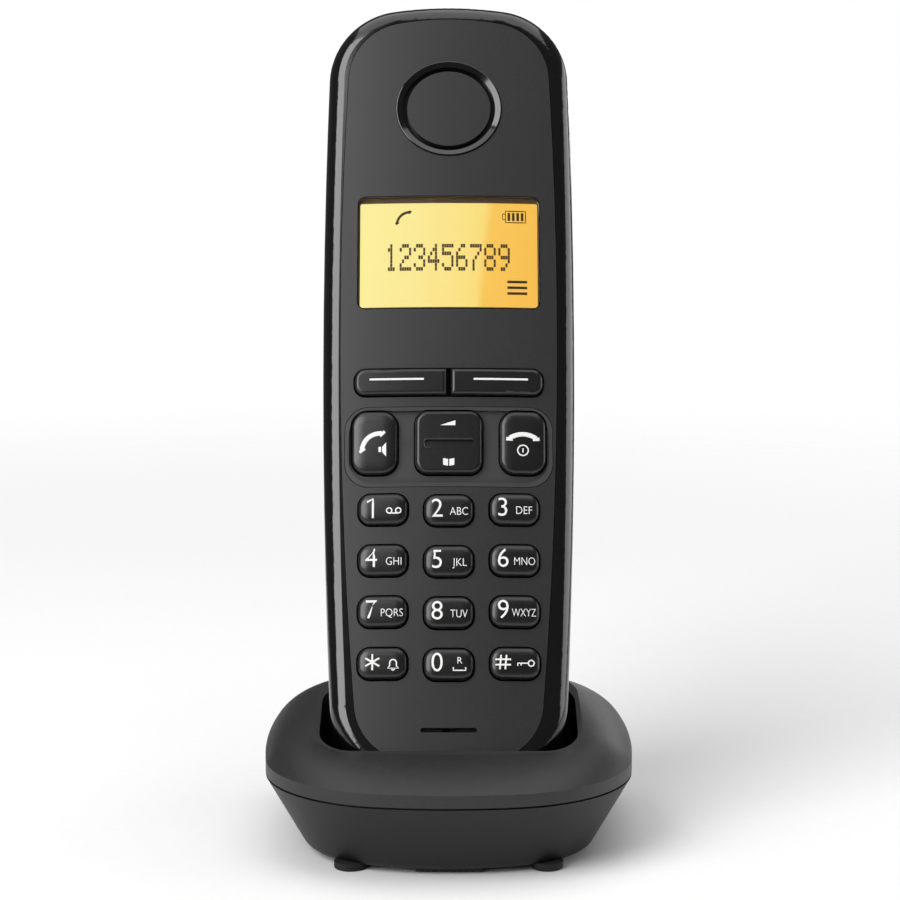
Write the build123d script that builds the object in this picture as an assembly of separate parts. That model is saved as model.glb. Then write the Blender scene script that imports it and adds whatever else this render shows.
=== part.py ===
from build123d import *
import math
import os

# Cordless telephone: a slim handset that leans back in a small charging base.
# Millimetres and degrees. +Z is up, the keys face -Y, and X = 0 is the plane of symmetry.
# The handset is drawn upright in its own frame: X across, Y from the face to the back,
# Z from its bottom end to its earpiece end. One placement then leans it into the base.

# ---------------------------------------------------------------- driving dimensions
# handset body
HAND_LENGTH = 152.9
HAND_HALF_WIDTH = 24.05
HAND_WIDEST_DOWN = 62.4
HAND_SIDE_RADIUS = 1530.0
HAND_TOP_DROP = 3.2
HAND_TOP_CORNER = 14.5
HAND_BOTTOM_CORNER = 15.5
CROWN_RADIUS = 200.0
THICK_BOTTOM = 18.5
THICK_MIDDLE = 27.0
THICK_TOP = 22.0
FRONT_EDGE = 3.4
BACK_EDGE = 8.0
HAND_WALL = 1.8
HAND_SPLIT = 12.0

# face plate and the web of the front frame that carries it
BEZEL = 3.4
PLATE_SIDE_RADIUS = 920.0
PLATE_BOTTOM = 4.5
PLATE_BOTTOM_CORNER = 11.0
PLATE_TOP_CORNER = 11.5
PLATE_THICK = 1.5
WEB_BACK = 3.6
SEAT_GAP = 0.1

# earpiece
EAR_AT = 131.15
EAR_WIDTH = 20.3
EAR_OVAL = 0.94
EAR_RING_WALL = 1.15
EAR_GROOVE = 0.95
EAR_RING_PROUD = 0.3
EAR_SLOTS = 10
EAR_SLOT_RADIUS = 0.45

# display
WINDOW_WIDTH = 34.9
WINDOW_HEIGHT = 22.4
WINDOW_AT = 102.2
WINDOW_CORNER = 1.6
WINDOW_LEDGE = 0.9
LCD_MARGIN = 2.2
LCD_GLASS_FRONT = 2.3

# keys
KEY_GAP = 0.3
KEY_TRAVEL = 0.7
KEY_FLANGE = 0.55
KEY_FLANGE_THICK = 0.8
KEY_FLANGE_GAP = 0.2
DIGIT_WIDTH = 9.2
DIGIT_HEIGHT = 5.9
DIGIT_CORNER = 2.3
DIGIT_PROUD = 1.3
DIGIT_EDGE = 0.8
DIGIT_COLUMN = 12.3
DIGIT_ROW = 9.72
DIGIT_TOP_ROW_AT = 51.5
DIGIT_SMILE = 0.25
SOFT_WIDTH = 35.6
SOFT_HEIGHT = 5.1
SOFT_AT = 76.4
SOFT_SPLIT = 0.7
SOFT_CORNER = 2.0
SOFT_PROUD = 1.1
TRAY_WIDTH = 39.2
TRAY_HEIGHT = 15.4
TRAY_AT = 63.9
TRAY_CORNER = 4.6
TRAY_RIM = 0.7
TRAY_DISH = 0.8
CALL_WIDTH = 8.6
CALL_HEIGHT = 12.1
CALL_CORNER = 2.9
CALL_COLUMN = 14.0
CALL_AT = 64.7
CALL_PROUD = 0.8
ROCKER_WIDTH = 12.6
ROCKER_HEIGHT = 12.1
ROCKER_CORNER = 2.4
ROCKER_TILT = 3.0
ROCKER_AXIS_DEPTH = 3.2
ROCKER_POST = 1.3

# handset internals
MAT_THICK = 1.0
BOARD_THICK = 1.2
BOARD_HALF_WIDTH = 18.6
BOARD_TOP = 118.0
BOARD_BOTTOM = 8.5
MIC_AT = 10.2
MIC_SLOT = 10.4
MIC_SLOT_HEIGHT = 0.85
MIC_RADIUS = 2.4
MIC_DEEP = 2.0
CAPSULE_RADIUS = 7.5
CAPSULE_DEEP = 4.0
SPEAKER_AT = 112.0
SPEAKER_RADIUS = 9.0
SPEAKER_DEEP = 4.5
SPEAKER_WALL = 1.2
SPEAKER_HOLE = 0.75
SPEAKER_RING = 3.4

# battery bay in the back of the handset
CELL_RADIUS = 5.25
CELL_LENGTH = 44.5
CELL_NUB = 0.8
CELL_NUB_RADIUS = 1.9
CELL_GAP = 0.4
BAY_BOTTOM = 30.0
BAY_SPRING = 3.2
BAY_PLATE = 0.4
BAY_WALL = 1.2
COVER_WIDTH = 35.0
COVER_THICK = 1.6
COVER_GAP = 0.3
COVER_CORNER = 4.0
COVER_MARGIN = 3.0
COVER_LEDGE = 1.4
HOOK_WIDTH = 4.0
HOOK_REACH = 1.2
HOOK_ROOT = 2.0
HOOK_SWING = 1.0
HOOK_THICK = 1.0
HOOK_GAP = 0.35
COVER_OPEN = 45.0

# screws
SCREW_RADIUS = 1.0
SCREW_CLEAR = 0.15
SCREW_HEAD_RADIUS = 1.9
SCREW_HEAD = 1.3
BOSS_RADIUS = 2.5
HAND_SCREW_X = 15.0
HAND_SCREW_AT = 84.8
HEAD_SEAT_WALL = 1.2

# charging pads and sprung contacts
PAD_X = 7.0
PAD_WIDTH = 4.0
PAD_DEEP = 4.6
PAD_CENTRE = 7.4
PAD_INNER = 0.5
CONTACT_RADIUS = 1.2
CONTACT_TRAVEL = 1.0
CONTACT_LENGTH = 4.2
CONTACT_RUN = 0.06
BARREL_WALL = 0.6
BARREL_FLANGE = 0.8

# how the handset stands in the base
LEAN = 22.0
FACE_RIM_Y = -20.0
FACE_RIM_Z = 20.5
SEAT_DEPTH = 6.5
LIFT_TRAVEL = 60.0

# base outline and heights
BASE_HALF_WIDTH = 34.8
BASE_HALF_DEPTH = 38.2
BASE_FRONT_DROP = 7.0
BASE_BACK_DROP = 3.0
BASE_SIDE_DROP = 3.2
BASE_FRONT_CORNER = 26.0
BASE_BACK_CORNER = 19.0
BASE_WALL = 1.8
SEAM_Z = 14.2
SEAM_GROOVE = 0.35
SEAM_GROOVE_DEEP = 0.6
BAND_TOP_Z = 16.9
FLOOR_Z = 0.9
FOOT_INSET = 7.2
BOTTOM_EDGE = 2.4

# rim of the pocket, and the mound that rises to it
RIM_FRONT_Y = -22.3
RIM_FRONT_Z = 20.3
RIM_BACK_Y = 11.2
RIM_BACK_Z = 27.4
RIM_LAND = 0.9
MOUND_BULGE = 1.1
POCKET_HALF_WIDTH = 24.1
POCKET_FRONT_GAP = 0.9
POCKET_BACK_GAP = 0.35
POCKET_FLOOR_GAP = 0.25
POCKET_CORNER = 6.4
POCKET_HEEL = 6.8
TUB_WALL = 1.6

# feet, board, sockets, screws and paging key of the base
FOOT_RADIUS = 3.0
FOOT_X = 18.0
FOOT_FRONT_Y = -26.0
FOOT_BACK_Y = 25.5
FOOT_SOCKET = 0.5
KEEL_HALF_WIDTH = 6.0
KEEL_DROP = 0.6
BASE_BOARD_HALF_WIDTH = 16.0
BASE_BOARD_FRONT = -20.0
SOCKET_FACE_Y = 30.6
WELL_LAP = 1.0
BOARD_GAP = 0.4
BASE_BOARD_LIFT = 0.8
SOCKET_X = 9.7
SOCKET_WIDTH = 11.0
SOCKET_HEIGHT = 9.2
SOCKET_DEEP = 12.0
SOCKET_MOUTH = 8.0
SOCKET_MOUTH_HEIGHT = 6.0
SOCKET_MOUTH_DEEP = 9.6
SOCKET_LATCH = 3.0
WELL_GAP = 0.3
WELL_WALL = 1.2
BASE_SCREW_FRONT = (10.0, -26.9)
BASE_SCREW_BACK = (19.2, 19.0)
BOSS_MEET_Z = 11.5
PAGE_Y = 25.0
PAGE_RADIUS = 4.5
PAGE_PROUD = 0.8
PAGE_TRAVEL = 0.8
PAGE_GAP = 0.3
PAGE_FLANGE = 1.0
PAGE_STEM = 1.4
SWITCH_SIZE = 6.0
SWITCH_HEIGHT = 3.5

# ---------------------------------------------------------------- places that follow
HAND_WIDEST_AT = HAND_LENGTH - HAND_WIDEST_DOWN
AXIS = Vector(0, math.sin(math.radians(LEAN)), math.cos(math.radians(LEAN)))
INWARD = Vector(0, math.cos(math.radians(LEAN)), -math.sin(math.radians(LEAN)))
FACE_FOOT = Vector(0, FACE_RIM_Y, FACE_RIM_Z) - AXIS * SEAT_DEPTH
HAND_PLACE = Location(Plane(origin=FACE_FOOT, x_dir=(1, 0, 0), z_dir=AXIS))

MAT_FRONT = WEB_BACK + KEY_FLANGE_GAP + KEY_FLANGE_THICK + KEY_TRAVEL + 0.1
BOARD_FRONT = MAT_FRONT + MAT_THICK
BOARD_BACK = BOARD_FRONT + BOARD_THICK
BAY_TOP = BAY_BOTTOM + BAY_SPRING + CELL_LENGTH + CELL_NUB + 2 * BAY_PLATE
BAY_HALF_WIDTH = 2 * CELL_RADIUS + 1.5 * CELL_GAP
CELL_X = CELL_RADIUS + CELL_GAP / 2
COVER_BOTTOM = BAY_BOTTOM - COVER_MARGIN
COVER_TOP = HAND_SCREW_AT + SCREW_HEAD_RADIUS + COVER_MARGIN - 1.0
COVER_MID = (COVER_BOTTOM + COVER_TOP) / 2
FLOOR_TOP_Z = FLOOR_Z + BASE_WALL
BASE_BOARD_Z = FLOOR_TOP_Z + BASE_BOARD_LIFT
BASE_BOARD_TOP_Z = BASE_BOARD_Z + BOARD_THICK


# ---------------------------------------------------------------- helpers
def block(x0, x1, y0, y1, z0, z1):
    """A box between two values on each axis."""
    return Pos((x0 + x1) / 2, (y0 + y1) / 2, (z0 + z1) / 2) * Box(x1 - x0, y1 - y0, z1 - z0)


def through(face, y0, y1):
    """A face drawn as (X, Z) made into a prism from depth y0 to depth y1."""
    return extrude(Plane.XZ.offset(-y1) * face, amount=y1 - y0)


def rod(x, z, radius, y0, y1):
    """A round bar along Y."""
    return through(Pos(x, z) * Circle(radius), y0, y1)


def pill(width, height, corner):
    """A rounded rectangle whose corners never exceed its half height or width."""
    return RectangleRounded(width, height, min(corner, width / 2 - 0.05, height / 2 - 0.05))


def group(solids):
    """Separate solids kept in one node."""
    return Compound(children=list(solids))


def side_half_width(z, widest, radius):
    """Half width of the long curved side at height z."""
    return widest - (z - HAND_WIDEST_AT) ** 2 / (2 * radius)


def tall_outline(widest, radius, bottom, top, drop, bottom_corner, top_corner):
    """Outline with long curved sides, a bowed top, a flat bottom and round corners."""
    shoulder = top - drop
    foot = (side_half_width(bottom, widest, radius), bottom)
    neck = (side_half_width(shoulder, widest, radius), shoulder)
    middle = (side_half_width(HAND_WIDEST_AT, widest, radius), HAND_WIDEST_AT)
    right = ThreePointArc(foot, middle, neck)
    bow = ThreePointArc(neck, (0, top), (-neck[0], neck[1]))
    left = ThreePointArc((-neck[0], neck[1]), (-middle[0], middle[1]), (-foot[0], foot[1]))
    floor = Line((-foot[0], foot[1]), foot)
    face = make_face([right, bow, left, floor])
    low = [v for v in face.vertices() if v.Y < HAND_WIDEST_AT]
    face = fillet(low, bottom_corner)
    high = [v for v in face.vertices() if v.Y > shoulder - 0.01]
    return fillet(high, top_corner)


def hand_outline(inset):
    """Front view of the handset, drawn in by inset."""
    return tall_outline(HAND_HALF_WIDTH - inset, HAND_SIDE_RADIUS, inset, HAND_LENGTH - inset,
                        HAND_TOP_DROP, HAND_BOTTOM_CORNER - inset, HAND_TOP_CORNER - inset)


def plate_outline(inset):
    """Front view of the face plate, drawn in by inset."""
    return tall_outline(HAND_HALF_WIDTH - BEZEL - inset, PLATE_SIDE_RADIUS,
                        PLATE_BOTTOM + inset, HAND_LENGTH - BEZEL - inset, HAND_TOP_DROP,
                        PLATE_BOTTOM_CORNER - inset, PLATE_TOP_CORNER - inset)


def back_arc(inset):
    """The bowed back in side view, as an arc from bottom to top."""
    return ThreePointArc((THICK_BOTTOM - inset, 0), (THICK_MIDDLE - inset, HAND_WIDEST_AT),
                         (THICK_TOP - inset, HAND_LENGTH))


def back_depth(z):
    """Depth of the bowed back at height z."""
    p0 = Vector(THICK_BOTTOM, 0)
    p1 = Vector(THICK_MIDDLE, HAND_WIDEST_AT)
    p2 = Vector(THICK_TOP, HAND_LENGTH)
    a, b = p1 - p0, p2 - p0
    d = 2 * (a.X * b.Y - a.Y * b.X)
    a2, b2 = a.dot(a), b.dot(b)
    centre = p0 + Vector((b.Y * a2 - a.Y * b2) / d, (a.X * b2 - b.X * a2) / d)
    radius = (p0 - centre).length
    return centre.X + math.sqrt(radius ** 2 - (z - centre.Y) ** 2)


def crown(offset):
    """Everything behind the gently crowned face, moved back by offset."""
    return Pos(0, CROWN_RADIUS, HAND_LENGTH / 2) * Cylinder(CROWN_RADIUS - offset, 2 * HAND_LENGTH)


def hand_blank(inset):
    """The handset's solid envelope, drawn in by inset on every side."""
    arc = back_arc(inset)
    front = Polyline(arc @ 0, (-1, 0), (-1, HAND_LENGTH), arc @ 1)
    side = make_face([arc, front])
    width = 2 * HAND_HALF_WIDTH + 10
    profile = extrude(Plane.YZ.offset(-width / 2) * side, amount=width)
    body = through(hand_outline(inset), -1, 2 * THICK_MIDDLE) & profile & crown(inset)
    front_edges = [e for e in body.edges() if e.bounding_box().max.Y < FRONT_EDGE + inset]
    body = fillet(front_edges, FRONT_EDGE - inset)
    back_edges = [e for e in body.edges() if e.bounding_box().min.Y > THICK_BOTTOM - inset - 1]
    return fillet(back_edges, BACK_EDGE - inset)


def place_hand(shape):
    """Lean a handset piece into the base."""
    return HAND_PLACE * shape


# ---------------------------------------------------------------- handset casing
def oval(width):
    """The earpiece's slightly flattened circle at its place on the face."""
    return Pos(0, EAR_AT) * Ellipse(width / 2, width * EAR_OVAL / 2)


def window_face(shrink):
    """The display window's outline, drawn in by shrink."""
    face = pill(WINDOW_WIDTH - 2 * shrink, WINDOW_HEIGHT - 2 * shrink, WINDOW_CORNER)
    return Pos(0, WINDOW_AT) * face


def tray_face(grow):
    """The call-key tray's outline."""
    return Pos(0, TRAY_AT) * pill(TRAY_WIDTH + 2 * grow, TRAY_HEIGHT + 2 * grow, TRAY_CORNER)


def digit_places():
    """Name and centre of each of the twelve digit keys."""
    names = ["1", "2", "3", "4", "5", "6", "7", "8", "9", "star", "0", "hash"]
    for i, name in enumerate(names):
        column = i % 3 - 1
        z = DIGIT_TOP_ROW_AT - (i // 3) * DIGIT_ROW + abs(column) * DIGIT_SMILE
        yield "key_" + name, column * DIGIT_COLUMN, z


def digit_face(x, z, grow):
    """A digit key's outline."""
    return Pos(x, z) * pill(DIGIT_WIDTH + 2 * grow, DIGIT_HEIGHT + 2 * grow, DIGIT_CORNER + grow)


def soft_face(side, grow):
    """One half of the soft-key bar: side is -1 or 1."""
    width = (SOFT_WIDTH - SOFT_SPLIT) / 2
    x = side * (SOFT_SPLIT / 2 + width / 2)
    face = pill(width, SOFT_HEIGHT, SOFT_CORNER)
    inner = Pos(-side * width / 4) * Rectangle(width / 2, SOFT_HEIGHT)
    return Pos(x, SOFT_AT) * offset(face + inner, grow) if grow else Pos(x, SOFT_AT) * (face + inner)


def call_face(side, grow):
    """Outline of the talk key (side -1) or the end key (side 1)."""
    face = pill(CALL_WIDTH + 2 * grow, CALL_HEIGHT + 2 * grow, CALL_CORNER + grow)
    return Pos(side * CALL_COLUMN, CALL_AT) * face


def rocker_face(grow):
    """Outline of the four-edge rocker between the call keys."""
    face = pill(ROCKER_WIDTH + 2 * grow, ROCKER_HEIGHT + 2 * grow, ROCKER_CORNER + grow)
    return Pos(0, CALL_AT) * face


def soft_bar_face(grow):
    """The whole soft-key bar's opening."""
    return Pos(0, SOFT_AT) * pill(SOFT_WIDTH + 2 * grow, SOFT_HEIGHT + 2 * grow, SOFT_CORNER + grow)


def mic_face(width, height):
    """The microphone slot."""
    return Pos(0, MIC_AT) * pill(width, height, height / 2)


def plate_cuts():
    """Every opening through the face plate alone."""
    faces = [oval(EAR_WIDTH + 2 * SEAT_GAP), window_face(-SEAT_GAP), tray_face(SEAT_GAP),
             soft_bar_face(KEY_GAP), mic_face(MIC_SLOT, MIC_SLOT_HEIGHT)]
    faces += [digit_face(x, z, KEY_GAP) for _, x, z in digit_places()]
    return [through(face, -5, WEB_BACK + 1) for face in faces]


def web_cuts():
    """Every opening through the web behind the face plate."""
    faces = [window_face(WINDOW_LEDGE), mic_face(MIC_RADIUS, MIC_SLOT_HEIGHT), soft_bar_face(KEY_GAP),
             call_face(-1, KEY_GAP), call_face(1, KEY_GAP), rocker_face(KEY_GAP)]
    faces += [digit_face(x, z, KEY_GAP) for _, x, z in digit_places()]
    cuts = [through(face, -5, WEB_BACK + 1) for face in faces]
    middle = (EAR_WIDTH / 2 - EAR_RING_WALL - EAR_GROOVE / 2)
    for i in range(EAR_SLOTS):
        angle = 2 * math.pi * (i + 0.5) / EAR_SLOTS
        x = middle * math.cos(angle)
        z = EAR_AT + middle * EAR_OVAL * math.sin(angle)
        cuts.append(rod(x, z, EAR_SLOT_RADIUS, -5, WEB_BACK + 1))
    return cuts


def hand_screw_places():
    return [(-HAND_SCREW_X, HAND_SCREW_AT), (HAND_SCREW_X, HAND_SCREW_AT)]


def head_seat_depth(z):
    """Depth of the face that a casing screw's head pulls against."""
    return back_depth(z) - COVER_THICK - SCREW_HEAD - HEAD_SEAT_WALL


def pad_slot(side, grow):
    """The slot through the bottom wall for one charging pad."""
    x = side * PAD_X
    half_w = PAD_WIDTH / 2 + grow
    half_d = PAD_DEEP / 2 + grow
    return block(x - half_w, x + half_w, PAD_CENTRE - half_d, PAD_CENTRE + half_d,
                 -1, HAND_WALL + PAD_INNER)


def make_front_frame(blank, cavity):
    """Glossy front half of the casing, with the web behind the face plate."""
    keep = block(-40, 40, -5, HAND_SPLIT, -5, HAND_LENGTH + 5)
    hollow = cavity & block(-40, 40, WEB_BACK, 60, -5, HAND_LENGTH + 5)
    frame = (blank & keep) - hollow
    recess = through(plate_outline(-SEAT_GAP), -5, 40) - crown(PLATE_THICK)
    frame = frame - recess
    for cut in web_cuts():
        frame = frame - cut
    for x, z in hand_screw_places():
        frame = frame + rod(x, z, BOSS_RADIUS, WEB_BACK - 0.2, HAND_SPLIT)
        frame = frame - rod(x, z, SCREW_RADIUS, WEB_BACK + 1, HAND_SPLIT + 1)
    for side in (-1, 1):
        frame = frame - pad_slot(side, SEAT_GAP / 2)
    return frame


def make_face_plate(blank):
    """Thin matte plate that lies on the web."""
    plate = (through(plate_outline(0), -5, 40) & crown(0)) - crown(PLATE_THICK)
    for cut in plate_cuts():
        plate = plate - cut
    return plate


def cover_face(grow):
    """The battery cover's outline."""
    face = pill(COVER_WIDTH + 2 * grow, COVER_TOP - COVER_BOTTOM + 2 * grow, COVER_CORNER + grow)
    return Pos(0, COVER_MID) * face


def hook_places():
    return [-COVER_WIDTH / 4, COVER_WIDTH / 4]


def make_back_housing(blank, cavity):
    """Back half of the casing, with the battery bay, cover recess and speaker seat."""
    keep = block(-40, 40, HAND_SPLIT, 60, -5, HAND_LENGTH + 5)
    housing = (blank & keep) - cavity
    pad = through(cover_face(COVER_MARGIN / 2), HAND_SPLIT, 60) & (blank - hand_blank(
        COVER_THICK + COVER_LEDGE))
    housing = housing + (pad & keep)
    bay_floor = bay_floor_depth()
    tray = block(-BAY_HALF_WIDTH - BAY_WALL, BAY_HALF_WIDTH + BAY_WALL, bay_floor - BAY_WALL, 40,
                 BAY_BOTTOM - BAY_WALL, BAY_TOP + BAY_WALL) & blank
    housing = housing + tray
    housing = housing - block(-BAY_HALF_WIDTH, BAY_HALF_WIDTH, bay_floor, 60, BAY_BOTTOM, BAY_TOP)
    speaker_front = back_depth(SPEAKER_AT) - HAND_WALL - SPEAKER_DEEP - 0.6
    seat = rod(0, SPEAKER_AT, SPEAKER_RADIUS + SPEAKER_WALL, speaker_front, 40) & blank
    housing = housing + seat
    housing = housing - rod(0, SPEAKER_AT, SPEAKER_RADIUS + SEAT_GAP, speaker_front - 1,
                            speaker_front + SPEAKER_DEEP + 0.2)
    for x, z in speaker_holes():
        housing = housing - rod(x, z, SPEAKER_HOLE, speaker_front + 1, 60)
    recess = through(cover_face(COVER_GAP), HAND_SPLIT, 60) - hand_blank(COVER_THICK)
    for x, z in hand_screw_places():
        pillar = rod(x, z, BOSS_RADIUS, HAND_SPLIT, 60) & blank
        housing = housing + pillar
        head_seat = head_seat_depth(z)
        housing = housing - rod(x, z, SCREW_RADIUS + SCREW_CLEAR, HAND_SPLIT - 1, 60)
        housing = housing - rod(x, z, SCREW_HEAD_RADIUS + SCREW_CLEAR, head_seat, 60)
    housing = housing - recess
    for x in hook_places():
        depth = back_depth(COVER_TOP) - COVER_THICK
        housing = housing - block(x - HOOK_WIDTH / 2 - HOOK_GAP, x + HOOK_WIDTH / 2 + HOOK_GAP,
                                  depth - HOOK_THICK - HOOK_GAP - 1.2, depth + 0.4,
                                  COVER_TOP - HOOK_ROOT - HOOK_SWING, COVER_TOP + HOOK_REACH + HOOK_GAP)
    return housing


def speaker_holes():
    """A centre hole and a ring of eight for the hands-free speaker."""
    yield 0, SPEAKER_AT
    for i in range(8):
        angle = math.pi * i / 4
        yield SPEAKER_RING * math.cos(angle), SPEAKER_AT + SPEAKER_RING * math.sin(angle)


def make_battery_cover(blank):
    """Cover that hooks in at its upper edge and snaps shut at its lower edge."""
    cover = (through(cover_face(0), HAND_SPLIT, 60) & blank) - hand_blank(COVER_THICK)
    depth = back_depth(COVER_TOP) - COVER_THICK
    for x in hook_places():
        cover = cover + block(x - HOOK_WIDTH / 2, x + HOOK_WIDTH / 2, depth - HOOK_THICK + 0.2,
                              depth + 0.3, COVER_TOP - HOOK_ROOT, COVER_TOP + HOOK_REACH)
    return cover


# ---------------------------------------------------------------- handset face pieces
def on_face(face, front, back):
    """A piece that follows the crowned face from front to back, front being negative when proud."""
    return (through(face, -6, 40) & crown(front)) - crown(back)


def soft_edges(piece, radius, limit):
    """Round the outer edges of a piece that stands proud of the face."""
    edges = [e for e in piece.edges() if e.bounding_box().max.Y < limit]
    return fillet(edges, radius)


def make_earpiece_ring():
    ring = on_face(oval(EAR_WIDTH), -EAR_RING_PROUD, PLATE_THICK)
    ring = ring - through(oval(EAR_WIDTH - 2 * EAR_RING_WALL), -5, 10)
    return ring


def make_earpiece_cap():
    width = EAR_WIDTH - 2 * EAR_RING_WALL - 2 * EAR_GROOVE
    return on_face(oval(width), 0, PLATE_THICK)


def make_nav_tray():
    """Dished glossy insert that the call keys and the rocker stand in."""
    tray = on_face(tray_face(0), 0, PLATE_THICK)
    dish = through(tray_face(-TRAY_RIM), -6, 40) - crown(TRAY_DISH)
    tray = tray - dish
    for face in (call_face(-1, KEY_GAP), call_face(1, KEY_GAP), rocker_face(KEY_GAP)):
        tray = tray - through(face, -5, 10)
    return tray


def make_key(face, flange, proud, edge):
    """A key cap with a flange that holds it behind the web."""
    cap = through(face, -6, WEB_BACK + KEY_FLANGE_GAP + 0.1) & crown(-proud)
    cap = soft_edges(cap, edge, 1.0)
    front = WEB_BACK + KEY_FLANGE_GAP
    return cap + through(flange, front, front + KEY_FLANGE_THICK)


def make_rocker():
    """Rocker on a central post; it tips up and down about a line across it."""
    front = WEB_BACK + 3 * KEY_FLANGE_GAP
    cap = through(rocker_face(0), -6, front + 0.1) & crown(-CALL_PROUD)
    cap = soft_edges(cap, DIGIT_EDGE, 1.0)
    groove_z = CALL_AT
    cap = cap - (block(-4.6, 4.6, -6, 20, groove_z - 0.25, groove_z + 0.25) - crown(0.35 - CALL_PROUD))
    cap = cap + through(rocker_face(KEY_FLANGE), front, front + KEY_FLANGE_THICK - 0.3)
    post = rod(0, CALL_AT, ROCKER_POST, front, MAT_FRONT - 0.12)
    return cap + post


# ---------------------------------------------------------------- handset internals
def make_lcd_module():
    glass = through(window_face(WINDOW_LEDGE + SEAT_GAP), LCD_GLASS_FRONT, WEB_BACK)
    body = through(window_face(-LCD_MARGIN + 0.6), WEB_BACK, BOARD_FRONT)
    return glass + body


def make_keypad_mat():
    bottom = DIGIT_TOP_ROW_AT - 3 * DIGIT_ROW - DIGIT_HEIGHT
    top = SOFT_AT + SOFT_HEIGHT
    mat = block(-BOARD_HALF_WIDTH, BOARD_HALF_WIDTH, MAT_FRONT, BOARD_FRONT, bottom, top)
    for x, z in hand_screw_places():
        mat = mat - rod(x, z, BOSS_RADIUS + 0.3, 0, 20)
    return mat


def make_handset_board():
    board = block(-BOARD_HALF_WIDTH, BOARD_HALF_WIDTH, BOARD_FRONT, BOARD_BACK, 0, BOARD_TOP)
    board = board & through(hand_outline(HAND_WALL + 0.6), 0, 20)
    board = board & block(-40, 40, 0, 20, BOARD_BOTTOM, BOARD_TOP)
    for x, z in hand_screw_places():
        board = board - rod(x, z, BOSS_RADIUS + 0.3, 0, 20)
    return board


def bay_floor_depth():
    return back_depth(BAY_BOTTOM) - COVER_THICK - 2 * CELL_RADIUS - CELL_GAP


def make_cell(side):
    """One rechargeable cell, its positive end up on the left and down on the right."""
    y = bay_floor_depth() + CELL_RADIUS + 0.05
    z0 = BAY_BOTTOM + BAY_SPRING
    body = Pos(side * CELL_X, y, z0 + CELL_LENGTH / 2) * Cylinder(CELL_RADIUS, CELL_LENGTH)
    body = fillet(body.edges().filter_by(GeomType.CIRCLE), 0.4)
    nub_z = z0 + CELL_LENGTH + CELL_NUB / 2
    return body + Pos(side * CELL_X, y, nub_z) * Cylinder(CELL_NUB_RADIUS, CELL_NUB)


def make_battery_springs():
    """Conical springs at the lower end of each cell, as closed solids of their outer shape."""
    y = bay_floor_depth() + CELL_RADIUS + 0.05
    z = BAY_BOTTOM + BAY_SPRING / 2
    return group(Pos(side * CELL_X, y, z) * Cone(3.6, 2.4, BAY_SPRING) for side in (-1, 1))


def make_battery_plates():
    y = bay_floor_depth() + CELL_RADIUS + 0.05
    z1 = BAY_TOP
    return group(block(side * CELL_X - 4, side * CELL_X + 4, y - 4, y + 4, z1 - BAY_PLATE, z1)
                 for side in (-1, 1))


def make_pads():
    pads = []
    for side in (-1, 1):
        pads.append(pad_slot(side, 0) & block(-40, 40, 0, 40, 0, 20))
    return group(pads)


def make_hand_screws():
    screws = []
    for x, z in hand_screw_places():
        seat = head_seat_depth(z)
        shank = rod(x, z, SCREW_RADIUS - 0.02, WEB_BACK + 1.6, seat + 0.1)
        head = rod(x, z, SCREW_HEAD_RADIUS, seat, seat + SCREW_HEAD)
        slot = block(x - 1.2, x + 1.2, seat + 0.6, seat + 5, z - 0.25, z + 0.25)
        cross = block(x - 0.25, x + 0.25, seat + 0.6, seat + 5, z - 1.2, z + 1.2)
        screws.append(shank + head - slot - cross)
    return group(screws)


def make_hand_antenna():
    """Folded strip aerial soldered to the top of the board."""
    z = BOARD_TOP
    strip = block(-15, 3, BOARD_BACK, BOARD_BACK + 0.5, z - 4, z - 0.5)
    arm = block(-15, -12.5, BOARD_BACK, BOARD_BACK + 0.5, z - 12, z - 4)
    return strip + arm


def make_handset():
    """Every piece that leaves with the handset, upright in its own frame."""
    blank = hand_blank(0)
    cavity = hand_blank(HAND_WALL)
    nodes = {
        "front_frame": make_front_frame(blank, cavity),
        "face_plate": make_face_plate(blank),
        "back_housing": make_back_housing(blank, cavity),
        "battery_cover": make_battery_cover(blank),
        "earpiece_ring": make_earpiece_ring(),
        "earpiece_cap": make_earpiece_cap(),
        "earpiece_capsule": rod(0, EAR_AT, CAPSULE_RADIUS, WEB_BACK, WEB_BACK + CAPSULE_DEEP),
        "display_window": on_face(window_face(0), 0, PLATE_THICK),
        "lcd_module": make_lcd_module(),
        "nav_tray": make_nav_tray(),
        "keypad_mat": make_keypad_mat(),
        "handset_board": make_handset_board(),
        "microphone": rod(0, MIC_AT, MIC_RADIUS, WEB_BACK, WEB_BACK + MIC_DEEP),
        "battery_cell_left": make_cell(-1),
        "battery_cell_right": make_cell(1),
        "battery_springs": make_battery_springs(),
        "battery_plates": make_battery_plates(),
        "charge_pads": make_pads(),
        "handset_screws": make_hand_screws(),
        "handset_antenna": make_hand_antenna(),
        "nav_rocker": make_rocker(),
    }
    front = back_depth(SPEAKER_AT) - HAND_WALL - SPEAKER_DEEP - 0.6
    nodes["handsfree_speaker"] = rod(0, SPEAKER_AT, SPEAKER_RADIUS, front, front + SPEAKER_DEEP)
    for name, side in (("softkey_left", -1), ("softkey_right", 1)):
        flange = soft_face(side, 0) + through_flange(side)
        nodes[name] = make_key(soft_face(side, 0), flange, SOFT_PROUD, DIGIT_EDGE)
    for name, side in (("talk_key", -1), ("end_key", 1)):
        nodes[name] = make_key(call_face(side, 0), call_face(side, KEY_FLANGE + KEY_GAP),
                               CALL_PROUD, DIGIT_EDGE)
    for name, x, z in digit_places():
        nodes[name] = make_key(digit_face(x, z, 0), digit_face(x, z, KEY_FLANGE + KEY_GAP),
                               DIGIT_PROUD, DIGIT_EDGE)
    return {name: place_hand(shape) for name, shape in nodes.items()}


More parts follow.
